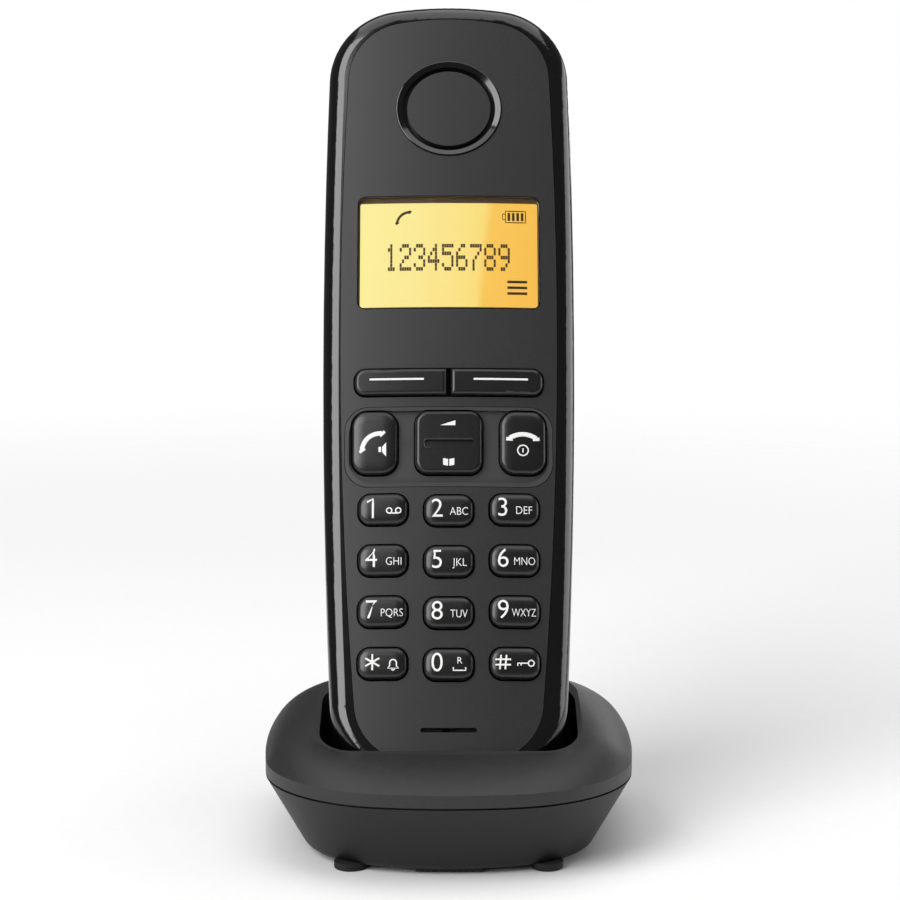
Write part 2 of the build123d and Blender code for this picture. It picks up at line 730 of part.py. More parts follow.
def through_flange(side):
    """The soft key's flange: wider above, below and outside, never across the split."""
    width = (SOFT_WIDTH - SOFT_SPLIT) / 2 + KEY_FLANGE + KEY_GAP
    x = side * (SOFT_SPLIT / 2 + width / 2)
    height = SOFT_HEIGHT + 2 * (KEY_FLANGE + KEY_GAP)
    return Pos(x, SOFT_AT) * Rectangle(width, height)


# ---------------------------------------------------------------- base casing
def ring_outline(half_width, front, back, front_drop, back_drop, side_drop, r_front, r_back):
    """Closed outline with bowed front, back and sides and round corners, drawn as (X, Y)."""
    x = half_width - side_drop
    mid = (front + back) / 2
    f = front + front_drop
    b = back - back_drop
    edges = [ThreePointArc((-x, f), (0, front), (x, f)),
             ThreePointArc((x, f), (half_width, mid), (x, b)),
             ThreePointArc((x, b), (0, back), (-x, b)),
             ThreePointArc((-x, b), (-half_width, mid), (-x, f))]
    face = make_face(edges)
    face = fillet([v for v in face.vertices() if v.Y < mid], r_front)
    return fillet([v for v in face.vertices() if v.Y > b - 0.01], r_back)


def base_outline(inset):
    """Plan of the base at the seam, drawn in by inset."""
    return ring_outline(BASE_HALF_WIDTH - inset, -BASE_HALF_DEPTH + inset, BASE_HALF_DEPTH - inset,
                        BASE_FRONT_DROP, BASE_BACK_DROP, BASE_SIDE_DROP,
                        BASE_FRONT_CORNER - inset, BASE_BACK_CORNER - inset)


def mound_section(t, inset):
    """Outline of the mound, from the band (t = 0) to the rim (t = 1), on its own tilted plane."""
    rim_half_width = POCKET_HALF_WIDTH + RIM_LAND
    lift = 4 * t * (1 - t) * MOUND_BULGE
    front_y = -BASE_HALF_DEPTH + t * (RIM_FRONT_Y + BASE_HALF_DEPTH)
    back_y = BASE_HALF_DEPTH + t * (RIM_BACK_Y - BASE_HALF_DEPTH)
    front_z = BAND_TOP_Z + t * (RIM_FRONT_Z - BAND_TOP_Z) + lift
    back_z = BAND_TOP_Z + t * (RIM_BACK_Z - BAND_TOP_Z) + lift
    middle = Vector(0, (front_y + back_y) / 2, (front_z + back_z) / 2 - inset)
    along = Vector(0, back_y - front_y, back_z - front_z)
    half = along.length / 2 - inset
    plane = Plane(origin=middle, x_dir=(1, 0, 0), z_dir=Vector(1, 0, 0).cross(along))
    half_width = BASE_HALF_WIDTH + t * (rim_half_width - BASE_HALF_WIDTH) + lift / 2 - inset
    blend = 1 - t
    face = ring_outline(half_width, -half, half,
                        BASE_FRONT_DROP * blend + 1.4 * t, BASE_BACK_DROP * blend + 1.4 * t,
                        BASE_SIDE_DROP * blend + 0.8 * t,
                        BASE_FRONT_CORNER * blend + (POCKET_CORNER + RIM_LAND) * t - inset,
                        BASE_BACK_CORNER * blend + (POCKET_CORNER + RIM_LAND) * t - inset)
    return plane * face


def mound(inset):
    """Envelope of the upper casing above the seam."""
    band = extrude(Pos(0, 0, SEAM_Z) * base_outline(inset), amount=BAND_TOP_Z - inset - SEAM_Z)
    rise = loft([mound_section(t, inset) for t in (0, 0.5, 1)])
    return band + rise


def pocket(grow, top):
    """The handset's pocket as a solid, drawn out by grow."""
    back = back_depth(SEAT_DEPTH + 16) + POCKET_BACK_GAP
    front = -POCKET_FRONT_GAP
    width = 2 * (POCKET_HALF_WIDTH + grow)
    depth = back - front + 2 * grow
    face = Pos(0, (front + back) / 2) * pill(width, depth, POCKET_CORNER + grow)
    low = -POCKET_FLOOR_GAP - grow
    tub = extrude(Pos(0, 0, low) * face, amount=top - low)
    return HAND_PLACE * (tub - heel_wedge(back + grow, low))


def heel_wedge(y, z):
    """The deep back corner of the pocket, left solid to suit the handset's round heel."""
    wedge = make_face(Polyline((y + 1, z - 1), (y - POCKET_HEEL, z - 1), (y - POCKET_HEEL, z),
                               (y, z + POCKET_HEEL), (y + 1, z + POCKET_HEEL), (y + 1, z - 1)))
    return extrude(Plane.YZ.offset(-BASE_HALF_WIDTH) * wedge, amount=2 * BASE_HALF_WIDTH)


def page_place():
    """Where the paging key stands on the back of the mound, looking out along its axis."""
    along = Vector(0, BASE_HALF_DEPTH - RIM_BACK_Y, BAND_TOP_Z - RIM_BACK_Z).normalized()
    out = Vector(0, -along.Z, along.Y)
    share = (PAGE_Y - RIM_BACK_Y) / (BASE_HALF_DEPTH - RIM_BACK_Y)
    z = RIM_BACK_Z + share * (BAND_TOP_Z - RIM_BACK_Z) + MOUND_BULGE
    return Location(Plane(origin=(0, PAGE_Y, z), x_dir=(1, 0, 0), z_dir=out))


def base_screw_places():
    return [(side * x, y) for x, y in (BASE_SCREW_FRONT, BASE_SCREW_BACK) for side in (-1, 1)]


def contact_places():
    return [("left", -PAD_X), ("right", PAD_X)]


def make_base_top():
    """Upper casing: band, mound, rim and the tub that holds the handset."""
    outer = mound(0)
    below = block(-60, 60, -60, 60, -5, SEAM_Z + 1)
    tub = pocket(TUB_WALL, 60) & (outer + below)
    shell = (outer - mound(BASE_WALL)) + tub
    for x, y in base_screw_places():
        boss = Pos(x, y, BOSS_MEET_Z + 20) * Cylinder(BOSS_RADIUS, 40)
        shell = shell + (boss & (outer + below))
    shell = shell - pocket(0, 60)
    for x, y in base_screw_places():
        shell = shell - Pos(x, y, BOSS_MEET_Z + 2) * Cylinder(SCREW_RADIUS, 8)
    for _, x in contact_places():
        hole = Pos(x, PAD_CENTRE, 0) * Cylinder(CONTACT_RADIUS + 0.15, 8)
        shell = shell - HAND_PLACE * hole
    shell = shell - page_place() * Cylinder(PAGE_RADIUS + PAGE_GAP, 12)
    groove = extrude(Pos(0, 0, SEAM_Z) * (base_outline(-1) - base_outline(SEAM_GROOVE_DEEP)),
                     amount=SEAM_GROOVE)
    return shell - groove


def bowl(inset, floor_z):
    """Envelope of the lower casing, tapering inwards to its underside."""
    share = (SEAM_Z - floor_z) / (SEAM_Z - FLOOR_Z)
    foot = Pos(0, 0, floor_z) * base_outline(inset + FOOT_INSET * share)
    seam = Pos(0, 0, SEAM_Z) * base_outline(inset)
    return loft([foot, seam], ruled=True)


def make_base_bottom():
    """Lower casing with its bosses, board posts, socket wells and foot recesses."""
    outer = bowl(0, FLOOR_Z)
    outer = fillet(outer.faces().sort_by(Axis.Z)[0].edges(), BOTTOM_EDGE)
    inner = bowl(BASE_WALL, FLOOR_TOP_Z)
    shell = outer - inner
    for x, y in base_screw_places():
        boss = Pos(x, y, (FLOOR_Z + BOSS_MEET_Z) / 2) * Cylinder(BOSS_RADIUS, BOSS_MEET_Z - FLOOR_Z)
        shell = shell + (boss & outer)
    for side in (-1, 1):
        for y in (BASE_BOARD_FRONT + 5, 8.0):
            post = block(side * 12 - 1.5, side * 12 + 1.5, y - 1.5, y + 1.5, FLOOR_Z + 0.5,
                         BASE_BOARD_Z)
            shell = shell + post
        shell = shell + socket_well(side, outer)
    for side in (-1, 1):
        half = SOCKET_WIDTH / 2 + WELL_GAP
        x = side * SOCKET_X
        shell = shell - block(x - half, x + half, SOCKET_FACE_Y - WELL_LAP, 60,
                              BASE_BOARD_TOP_Z - WELL_GAP, SEAM_Z + 1)
    keel = block(-KEEL_HALF_WIDTH, KEEL_HALF_WIDTH, -BASE_HALF_DEPTH + FOOT_INSET + 1.5,
                 -BASE_HALF_DEPTH + FOOT_INSET + 4.5, FLOOR_Z - KEEL_DROP, FLOOR_TOP_Z)
    shell = shell + keel
    for x, y in base_screw_places():
        shell = shell - Pos(x, y, 0) * Cylinder(SCREW_RADIUS + SCREW_CLEAR, 40)
        shell = shell - Pos(x, y, 0) * Cylinder(SCREW_HEAD_RADIUS + SCREW_CLEAR,
                                                2 * (FLOOR_Z + SCREW_HEAD + 0.5))
    for x, y in foot_places():
        shell = shell - Pos(x, y, 0) * Cylinder(FOOT_RADIUS + 0.05, 2 * (FLOOR_Z + FOOT_SOCKET))
    return shell


def socket_well(side, outer):
    """Walls that lead from the outside to one socket's mouth."""
    half = SOCKET_WIDTH / 2 + WELL_GAP + WELL_WALL
    x = side * SOCKET_X
    return block(x - half, x + half, SOCKET_FACE_Y - WELL_LAP, 60,
                 BASE_BOARD_TOP_Z - WELL_GAP - WELL_WALL, SEAM_Z) & outer


def foot_places():
    return [(side * FOOT_X, y) for y in (FOOT_FRONT_Y, FOOT_BACK_Y) for side in (-1, 1)]


def make_feet():
    height = FLOOR_Z + FOOT_SOCKET
    feet = []
    for x, y in foot_places():
        foot = Pos(x, y, height / 2) * Cylinder(FOOT_RADIUS, height)
        bottom = foot.edges().filter_by(GeomType.CIRCLE).sort_by(Axis.Z)[0]
        feet.append(fillet(bottom, 0.4))
    return group(feet)


def make_base_screws():
    screws = []
    for x, y in base_screw_places():
        seat = FLOOR_Z + SCREW_HEAD + 0.5
        shank = Pos(x, y, (seat + BOSS_MEET_Z + 4.5) / 2) * Cylinder(
            SCREW_RADIUS - 0.02, BOSS_MEET_Z + 4.5 - seat + 0.2)
        head = Pos(x, y, seat - SCREW_HEAD / 2) * Cylinder(SCREW_HEAD_RADIUS, SCREW_HEAD)
        low = seat - SCREW_HEAD
        slot = block(x - 1.2, x + 1.2, y - 0.25, y + 0.25, low - 1, low + 0.7)
        cross = block(x - 0.25, x + 0.25, y - 1.2, y + 1.2, low - 1, low + 0.7)
        screws.append(shank + head - slot - cross)
    return group(screws)


def make_socket(side):
    """Modular socket: a square mouth with a latch slot above it."""
    x = side * SOCKET_X
    z0 = BASE_BOARD_TOP_Z
    y1 = SOCKET_FACE_Y
    body = block(x - SOCKET_WIDTH / 2, x + SOCKET_WIDTH / 2, y1 - SOCKET_DEEP, y1,
                 z0, z0 + SOCKET_HEIGHT)
    mouth_z = z0 + 1.0
    mouth = block(x - SOCKET_MOUTH / 2, x + SOCKET_MOUTH / 2, y1 - SOCKET_MOUTH_DEEP, y1 + 1,
                  mouth_z, mouth_z + SOCKET_MOUTH_HEIGHT)
    latch = block(x - SOCKET_LATCH / 2, x + SOCKET_LATCH / 2, y1 - SOCKET_MOUTH_DEEP / 2, y1 + 1,
                  mouth_z + SOCKET_MOUTH_HEIGHT - 0.1, mouth_z + SOCKET_MOUTH_HEIGHT + 1.2)
    return body - mouth - latch


def make_contacts():
    """Sprung plungers that press on the handset's pads, and their fixed barrels."""
    nodes = {}
    top = -0.12
    barrel_top = -POCKET_FLOOR_GAP - TUB_WALL
    inner = CONTACT_RADIUS + CONTACT_RUN
    outer = inner + BARREL_WALL
    plunger_low = top - CONTACT_LENGTH
    barrel_low = plunger_low - CONTACT_TRAVEL - 0.2 - BARREL_WALL
    barrels = []
    for name, x in contact_places():
        plunger = Pos(x, PAD_CENTRE, (top + plunger_low) / 2) * Cylinder(CONTACT_RADIUS, CONTACT_LENGTH)
        tip = plunger.edges().filter_by(GeomType.CIRCLE).sort_by(Axis.Z)[-1]
        nodes["charge_contact_" + name] = HAND_PLACE * fillet(tip, 0.5)
        tube = Pos(x, PAD_CENTRE, (barrel_top + barrel_low) / 2) * Cylinder(outer, barrel_top - barrel_low)
        flange = Pos(x, PAD_CENTRE, barrel_top - BARREL_FLANGE / 2) * Cylinder(outer + 0.9, BARREL_FLANGE)
        bore_low = barrel_low + BARREL_WALL
        bore = Pos(x, PAD_CENTRE, (barrel_top + bore_low + 2) / 2) * Cylinder(
            inner, barrel_top - bore_low + 2)
        barrels.append(HAND_PLACE * (tube + flange - bore))
    nodes["contact_barrels"] = group(barrels)
    return nodes


def make_base_board():
    return block(-BASE_BOARD_HALF_WIDTH, BASE_BOARD_HALF_WIDTH, BASE_BOARD_FRONT,
                 SOCKET_FACE_Y - WELL_LAP - BOARD_GAP, BASE_BOARD_Z, BASE_BOARD_TOP_Z)


def make_paging_key():
    """Round key with a stem that reaches down to its switch on the board."""
    shell_in = -BASE_WALL - 0.9
    cap = Pos(0, 0, (PAGE_PROUD + shell_in) / 2) * Cylinder(PAGE_RADIUS, PAGE_PROUD - shell_in)
    rim = cap.edges().filter_by(GeomType.CIRCLE).sort_by(Axis.Z)[-1]
    cap = fillet(rim, 0.5)
    flange = Pos(0, 0, shell_in - 0.5) * Cylinder(PAGE_RADIUS + PAGE_FLANGE, 1.0)
    stem = Pos(0, 0, shell_in - 8) * Cylinder(PAGE_STEM, 16)
    key = page_place() * (cap + flange + stem)
    floor = BASE_BOARD_TOP_Z + SWITCH_HEIGHT + PAGE_TRAVEL + 0.15
    return key & block(-20, 20, -60, 60, floor, 60)


def make_paging_switch():
    """Switch on the board, under the end of the paging key's stem."""
    place = Plane(page_place())
    drop = place.origin.Z - BASE_BOARD_TOP_Z - SWITCH_HEIGHT
    y = place.origin.Y - place.z_dir.Y / place.z_dir.Z * drop
    half = SWITCH_SIZE / 2
    return block(-half, half, y - half, y + half, BASE_BOARD_TOP_Z, BASE_BOARD_TOP_Z + SWITCH_HEIGHT)


def make_base():
    nodes = {
        "base_top_shell": make_base_top(),
        "base_bottom_shell": make_base_bottom(),
        "base_feet": make_feet(),
        "base_screws": make_base_screws(),
        "base_board": make_base_board(),
        "base_antenna": block(-15.4, -12.4, -16, 10, BASE_BOARD_TOP_Z, BASE_BOARD_TOP_Z + 0.6),
        "line_socket": make_socket(-1),
        "power_socket": make_socket(1),
        "paging_key": make_paging_key(),
        "paging_switch": make_paging_switch(),
    }
    nodes.update(make_contacts())
    return nodes


# ---------------------------------------------------------------- whole object
def build():
    """All nodes, with the origin under the middle of the whole object."""
    nodes = make_handset()
    nodes.update(make_base())
    boxes = [shape.bounding_box() for shape in nodes.values()]
    low = min(box.min.Y for box in boxes)
    high = max(box.max.Y for box in boxes)
    shift = -(low + high) / 2
    return {name: Pos(0, shift, 0) * shape for name, shape in nodes.items()}, shift


NODES, Y_SHIFT = build()
os.makedirs("parts", exist_ok=True)
for node_name, node_shape in NODES.items():
    export_step(node_shape, "parts/" + node_name + ".step")
print(len(NODES), "nodes, shifted", round(Y_SHIFT, 3))
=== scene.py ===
import math
import bpy
from mathutils import Matrix, Vector
from mathutils.bvhtree import BVHTree


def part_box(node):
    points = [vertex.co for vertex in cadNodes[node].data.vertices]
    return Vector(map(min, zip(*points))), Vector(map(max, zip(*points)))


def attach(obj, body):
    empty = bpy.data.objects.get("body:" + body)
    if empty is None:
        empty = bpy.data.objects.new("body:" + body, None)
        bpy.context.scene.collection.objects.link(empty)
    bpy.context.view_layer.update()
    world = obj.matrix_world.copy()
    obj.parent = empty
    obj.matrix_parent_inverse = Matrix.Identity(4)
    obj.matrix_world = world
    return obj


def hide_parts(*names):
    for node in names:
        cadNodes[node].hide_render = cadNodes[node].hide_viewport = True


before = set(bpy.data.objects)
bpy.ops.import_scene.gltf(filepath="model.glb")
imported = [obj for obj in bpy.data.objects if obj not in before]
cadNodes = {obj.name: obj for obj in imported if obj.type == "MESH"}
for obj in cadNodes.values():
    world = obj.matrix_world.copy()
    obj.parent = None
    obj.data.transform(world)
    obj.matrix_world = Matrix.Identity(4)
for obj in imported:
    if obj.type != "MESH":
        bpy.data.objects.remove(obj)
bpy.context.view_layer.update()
mm = 0.001
print("frame loaded:", len(cadNodes), "nodes")

bpy.context.scene.view_settings.view_transform = "Standard"  # plain colour, so hex values come out as written

# the handset leans back in its cradle: everything on its face is drawn flat
# in millimetres, x across, y up the face and z out of it, then set in place
# behindFrontMm is from the cradle's front edge back to the foot of the face
stance = {"leanDeg": 22.0, "behindFrontMm": 15.765, "footHeightMm": 14.473, "crownRadius": 200.0}
lean = math.radians(stance["leanDeg"])
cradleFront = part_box("base_bottom_shell")[0].y
footX, footY, footZ = 0.0, cradleFront + stance["behindFrontMm"] * mm, stance["footHeightMm"] * mm
facePlace = Matrix(((1, 0, 0, footX),
                    (0, math.sin(lean), -math.cos(lean), footY),
                    (0, math.cos(lean), math.sin(lean), footZ),
                    (0, 0, 0, 1)))
faceFlat = facePlace.inverted()


def linear(hexCode):
    # screen hex to the linear values that the shaders mix
    values = [int(hexCode[i:i + 2], 16) / 255 for i in (1, 3, 5)]
    return tuple(v / 12.92 if v <= 0.04045 else ((v + 0.055) / 1.055) ** 2.4 for v in values) + (1.0,)


def addNode(tree, kind, settings=None, links=None):
    node = tree.nodes.new(kind)
    for key, value in (settings or {}).items():
        if isinstance(key, int) or key in node.inputs:
            node.inputs[key].default_value = value
        else:
            setattr(node, key, value)
    for key, source in (links or {}).items():
        tree.links.new(source, node.inputs[key])
    return node


def startMaterial(name):
    made = bpy.data.materials.new(name)
    made.use_nodes = True
    tree = made.node_tree
    shader = tree.nodes["Principled BSDF"]
    where = addNode(tree, "ShaderNodeTexCoord").outputs["Object"]
    return made, tree, shader, where


def mouldedPlastic(name, look):
    # spark-eroded grain in the bump, a slow drift of tone from the flow of the
    # melt, and a roughness that follows the grain
    made, tree, shader, where = startMaterial(name)
    grain = addNode(tree, "ShaderNodeTexNoise", {"Scale": 1 / (look["grainMm"] * mm), "Detail": 3.0,
                                                 "Roughness": 0.6}, {"Vector": where})
    flow = addNode(tree, "ShaderNodeTexNoise", {"Scale": 1 / (look["flowMm"] * mm), "Detail": 2.0},
                   {"Vector": where})
    fleck = addNode(tree, "ShaderNodeMapRange", {"From Min": 0.35, "From Max": 0.65,
                                                 "To Min": look["fleckLow"], "To Max": 1.0},
                    {"Value": grain.outputs["Fac"]})
    tone = addNode(tree, "ShaderNodeValToRGB", links={"Fac": flow.outputs["Fac"]})
    tone.color_ramp.elements[0].position = 0.35
    tone.color_ramp.elements[0].color = linear(look["toneDark"])
    tone.color_ramp.elements[1].position = 0.65
    tone.color_ramp.elements[1].color = linear(look["tone"])
    mixed = addNode(tree, "ShaderNodeVectorMath", {"operation": "SCALE"},
                    {0: tone.outputs["Color"], "Scale": fleck.outputs["Result"]})
    sheen = addNode(tree, "ShaderNodeMapRange", {"From Min": 0.3, "From Max": 0.7,
                                                 "To Min": look["roughness"] - look["roughnessSpread"],
                                                 "To Max": look["roughness"] + look["roughnessSpread"]},
                    {"Value": grain.outputs["Fac"]})
    bump = addNode(tree, "ShaderNodeBump", {"Strength": look["bump"], "Distance": look["depthMm"] * mm},
                   {"Height": grain.outputs["Fac"]})
    tree.links.new(mixed.outputs["Vector"], shader.inputs["Base Color"])
    tree.links.new(sheen.outputs["Result"], shader.inputs["Roughness"])
    tree.links.new(bump.outputs["Normal"], shader.inputs["Normal"])
    shader.inputs["IOR"].default_value = look.get("ior", 1.53)
    shader.inputs["Coat Weight"].default_value = look.get("coat", 0.0)
    shader.inputs["Coat Roughness"].default_value = look.get("coatRoughness", 0.05)
    return made


# fine-textured ABS: soft grey highlight with a barely visible grain
sparkErodedAbs = mouldedPlastic("sparkErodedAbs", {
    "tone": "#28282a", "toneDark": "#252526", "fleckLow": 0.82, "grainMm": 0.32, "flowMm": 28.0,
    "roughness": 0.43, "roughnessSpread": 0.05, "bump": 0.25, "depthMm": 0.02})

# coarser grain on the cradle's upper moulding, drawn a little coarse so that it shows
grainedAbs = mouldedPlastic("grainedAbs", {
    "tone": "#262627", "toneDark": "#222223", "fleckLow": 0.62, "grainMm": 0.5, "flowMm": 24.0,
    "roughness": 0.5, "roughnessSpread": 0.06, "bump": 0.4, "depthMm": 0.04})

# smoother and darker ABS of the cradle's lower moulding
smoothAbs = mouldedPlastic("smoothSatinAbs", {
    "tone": "#0e0e0e", "toneDark": "#0c0c0c", "fleckLow": 0.88, "grainMm": 0.4, "flowMm": 26.0,
    "roughness": 0.52, "roughnessSpread": 0.04, "bump": 0.12, "depthMm": 0.02, "ior": 1.46})

# plain satin ABS of the handset's back
satinAbs = mouldedPlastic("satinAbs", {
    "tone": "#161616", "toneDark": "#131313", "fleckLow": 0.85, "grainMm": 0.4, "flowMm": 26.0,
    "roughness": 0.44, "roughnessSpread": 0.05, "bump": 0.18, "depthMm": 0.02})

# polished ABS: deep black that mirrors the lights, with the faint waviness of a moulded skin
polishedAbs = mouldedPlastic("polishedAbs", {
    "tone": "#0b0b0c", "toneDark": "#090909", "fleckLow": 0.97, "grainMm": 7.0, "flowMm": 30.0,
    "roughness": 0.13, "roughnessSpread": 0.02, "bump": 0.05, "depthMm": 0.03,
    "coat": 0.35, "coatRoughness": 0.06})

# grey lacquered insert round the call keys
lacqueredAbs = mouldedPlastic("lacqueredAbs", {
    "tone": "#474748", "toneDark": "#434344", "fleckLow": 0.95, "grainMm": 4.0, "flowMm": 20.0,
    "roughness": 0.2, "roughnessSpread": 0.02, "bump": 0.05, "depthMm": 0.02,
    "coat": 0.4, "coatRoughness": 0.12})

# hard key caps: satin-lacquered black, a soft highlight on the crown
lacqueredCap = mouldedPlastic("lacqueredCap", {
    "tone": "#141415", "toneDark": "#111112", "fleckLow": 0.92, "grainMm": 0.5, "flowMm": 8.0,
    "roughness": 0.31, "roughnessSpread": 0.03, "bump": 0.06, "depthMm": 0.01,
    "coat": 0.12, "coatRoughness": 0.22})

# inner mouldings
moulding = mouldedPlastic("glassFilledAbs", {
    "tone": "#232323", "toneDark": "#1b1b1b", "fleckLow": 0.8, "grainMm": 0.6, "flowMm": 12.0,
    "roughness": 0.55, "roughnessSpread": 0.08, "bump": 0.3, "depthMm": 0.03})

# soft feet: dull black rubber with a dusty bloom
mouldedRubber = mouldedPlastic("mouldedRubber", {
    "tone": "#1a1a19", "toneDark": "#141413", "fleckLow": 0.75, "grainMm": 0.35, "flowMm": 6.0,
    "roughness": 0.82, "roughnessSpread": 0.06, "bump": 0.35, "depthMm": 0.03, "ior": 1.5})

# silicone keypad mat, smooth and slightly waxy
siliconeMat = mouldedPlastic("siliconeMat", {
    "tone": "#8a8c8c", "toneDark": "#7f8181", "fleckLow": 0.95, "grainMm": 1.5, "flowMm": 15.0,
    "roughness": 0.6, "roughnessSpread": 0.04, "bump": 0.1, "depthMm": 0.02, "ior": 1.41})

# green solder resist over glass cloth: the weave shows faintly under the resist
solderResist = mouldedPlastic("solderResist", {
    "tone": "#1f6b3d", "toneDark": "#195c34", "fleckLow": 0.86, "grainMm": 0.9, "flowMm": 9.0,
    "roughness": 0.32, "roughnessSpread": 0.05, "bump": 0.2, "depthMm": 0.02, "ior": 1.55})

# shrink-wrapped cell, pale printed film over steel
shrinkFilm = mouldedPlastic("shrinkFilm", {
    "tone": "#d9d8d2", "toneDark": "#cfcec7", "fleckLow": 0.96, "grainMm": 2.5, "flowMm": 14.0,
    "roughness": 0.3, "roughnessSpread": 0.05, "bump": 0.08, "depthMm": 0.03})


def platedMetal(name, look):
    # drawn or turned wire and pins: fine streaks along one axis break up the reflection
    made, tree, shader, where = startMaterial(name)
    stretch = addNode(tree, "ShaderNodeMapping", {"Scale": (1.0, 1.0, 0.12)}, {"Vector": where})
    streak = addNode(tree, "ShaderNodeTexNoise", {"Scale": 1 / (look["streakMm"] * mm), "Detail": 3.0},
                     {"Vector": stretch.outputs["Vector"]})
    tone = addNode(tree, "ShaderNodeValToRGB", links={"Fac": streak.outputs["Fac"]})
    tone.color_ramp.elements[0].color = linear(look["toneDark"])
    tone.color_ramp.elements[1].color = linear(look["tone"])
    sheen = addNode(tree, "ShaderNodeMapRange", {"To Min": look["roughness"] - 0.06,
                                                 "To Max": look["roughness"] + 0.06},
                    {"Value": streak.outputs["Fac"]})
    bump = addNode(tree, "ShaderNodeBump", {"Strength": 0.1, "Distance": 0.01 * mm},
                   {"Height": streak.outputs["Fac"]})
    tree.links.new(tone.outputs["Color"], shader.inputs["Base Color"])
    tree.links.new(sheen.outputs["Result"], shader.inputs["Roughness"])
    tree.links.new(bump.outputs["Normal"], shader.inputs["Normal"])
    shader.inputs["Metallic"].default_value = 1.0
    return made


nickelPlate = platedMetal("nickelPlate", {"tone": "#c9c8c4", "toneDark": "#a9a8a4",
                                          "streakMm": 0.4, "roughness": 0.28})  # cool grey, softly streaked
goldFlash = platedMetal("goldFlash", {"tone": "#e2b866", "toneDark": "#c99b48",
                                      "streakMm": 0.5, "roughness": 0.24})  # warm contact plating


def screenInk(name, hexCode, roughness):
    # printed or lit marks: a faint mottle as screen-printed ink shows close up
    made, tree, shader, where = startMaterial(name)
    mottle = addNode(tree, "ShaderNodeTexNoise", {"Scale": 1 / (0.6 * mm), "Detail": 2.0}, {"Vector": where})
    tone = addNode(tree, "ShaderNodeValToRGB", links={"Fac": mottle.outputs["Fac"]})
    ground = linear(hexCode)
    tone.color_ramp.elements[0].color = tuple(c * 0.9 for c in ground[:3]) + (1.0,)
    tone.color_ramp.elements[1].color = ground
    tree.links.new(tone.outputs["Color"], shader.inputs["Base Color"])
    shader.inputs["Roughness"].default_value = roughness
    return made


whiteInk = screenInk("padPrintedWhite", "#f4f4f2", 0.5)
segmentInk = screenInk("crystalSegment", "#4a3208", 0.6)  # driven crystal: brown against the backlight
frameInk = screenInk("backPrintedBrown", "#6a543a", 0.5)  # border printed behind the window


def backlitFilm(name, look):
    # amber light guide: pale at the lamp side, deeper past a soft slanted edge, a little
    # uneven where the lamps stand
    made, tree, shader, where = startMaterial(name)
    axes = addNode(tree, "ShaderNodeSeparateXYZ", links={"Vector": where})
    slant = addNode(tree, "ShaderNodeMath", {"operation": "MULTIPLY_ADD", 1: look["slant"],
                                                  2: -look["slant"] * look["heightMm"] * mm},
                    {0: axes.outputs["Z"]})
    across = addNode(tree, "ShaderNodeMath", {"operation": "ADD"},
                     {0: axes.outputs["X"], 1: slant.outputs["Value"]})
    share = addNode(tree, "ShaderNodeMapRange", {"From Min": look["leftMm"] * mm,
                                                 "From Max": look["rightMm"] * mm},
                    {"Value": across.outputs["Value"]})
    lamps = addNode(tree, "ShaderNodeTexNoise", {"Scale": 1 / (9.0 * mm), "Detail": 1.0}, {"Vector": where})
    uneven = addNode(tree, "ShaderNodeMapRange", {"To Min": -0.03, "To Max": 0.03},
                     {"Value": lamps.outputs["Fac"]})
    total = addNode(tree, "ShaderNodeMath", {"operation": "ADD"},
                    {0: share.outputs["Result"], 1: uneven.outputs["Result"]})
    glow = addNode(tree, "ShaderNodeValToRGB", links={"Fac": total.outputs["Value"]})
    ramp = glow.color_ramp
    ramp.elements[0].position = look["stops"][0][0]
    ramp.elements[0].color = linear(look["stops"][0][1])
    ramp.elements[1].position = look["stops"][-1][0]
    ramp.elements[1].color = linear(look["stops"][-1][1])
    for position, hexCode in look["stops"][1:-1]:
        ramp.elements.new(position).color = linear(hexCode)
    tree.links.new(glow.outputs["Color"], shader.inputs["Emission Color"])
    shader.inputs["Base Color"].default_value = (0.02, 0.014, 0.005, 1.0)
    shader.inputs["Emission Strength"].default_value = look["strength"]
    shader.inputs["Roughness"].default_value = 0.6
    return made


amberGuide = backlitFilm("backlitAmberFilm", {
    "leftMm": -17.5, "rightMm": 17.5, "heightMm": 109.2, "slant": -0.1, "strength": 1.0,
    "stops": [(0.0, "#fff8a8"), (0.3, "#fff2a0"), (0.6, "#ffe98c"), (0.68, "#ffe484"), (0.72, "#fdcd5c"),
              (1.0, "#fcc450")]})


def clearAcrylic(name):
    # cast acrylic window: clear, hard-coated, with a touch of surface ripple
    made, tree, shader, where = startMaterial(name)
    ripple = addNode(tree, "ShaderNodeTexNoise", {"Scale": 1 / (12.0 * mm), "Detail": 1.0}, {"Vector": where})
    bump = addNode(tree, "ShaderNodeBump", {"Strength": 0.03, "Distance": 0.02 * mm},
                   {"Height": ripple.outputs["Fac"]})
    tree.links.new(bump.outputs["Normal"], shader.inputs["Normal"])
    shader.inputs["Base Color"].default_value = linear("#fffaf0")
    shader.inputs["Transmission Weight"].default_value = 1.0
    shader.inputs["Roughness"].default_value = 0.02
    shader.inputs["IOR"].default_value = 1.49
    return made


windowAcrylic = clearAcrylic("hardCoatedAcrylic")

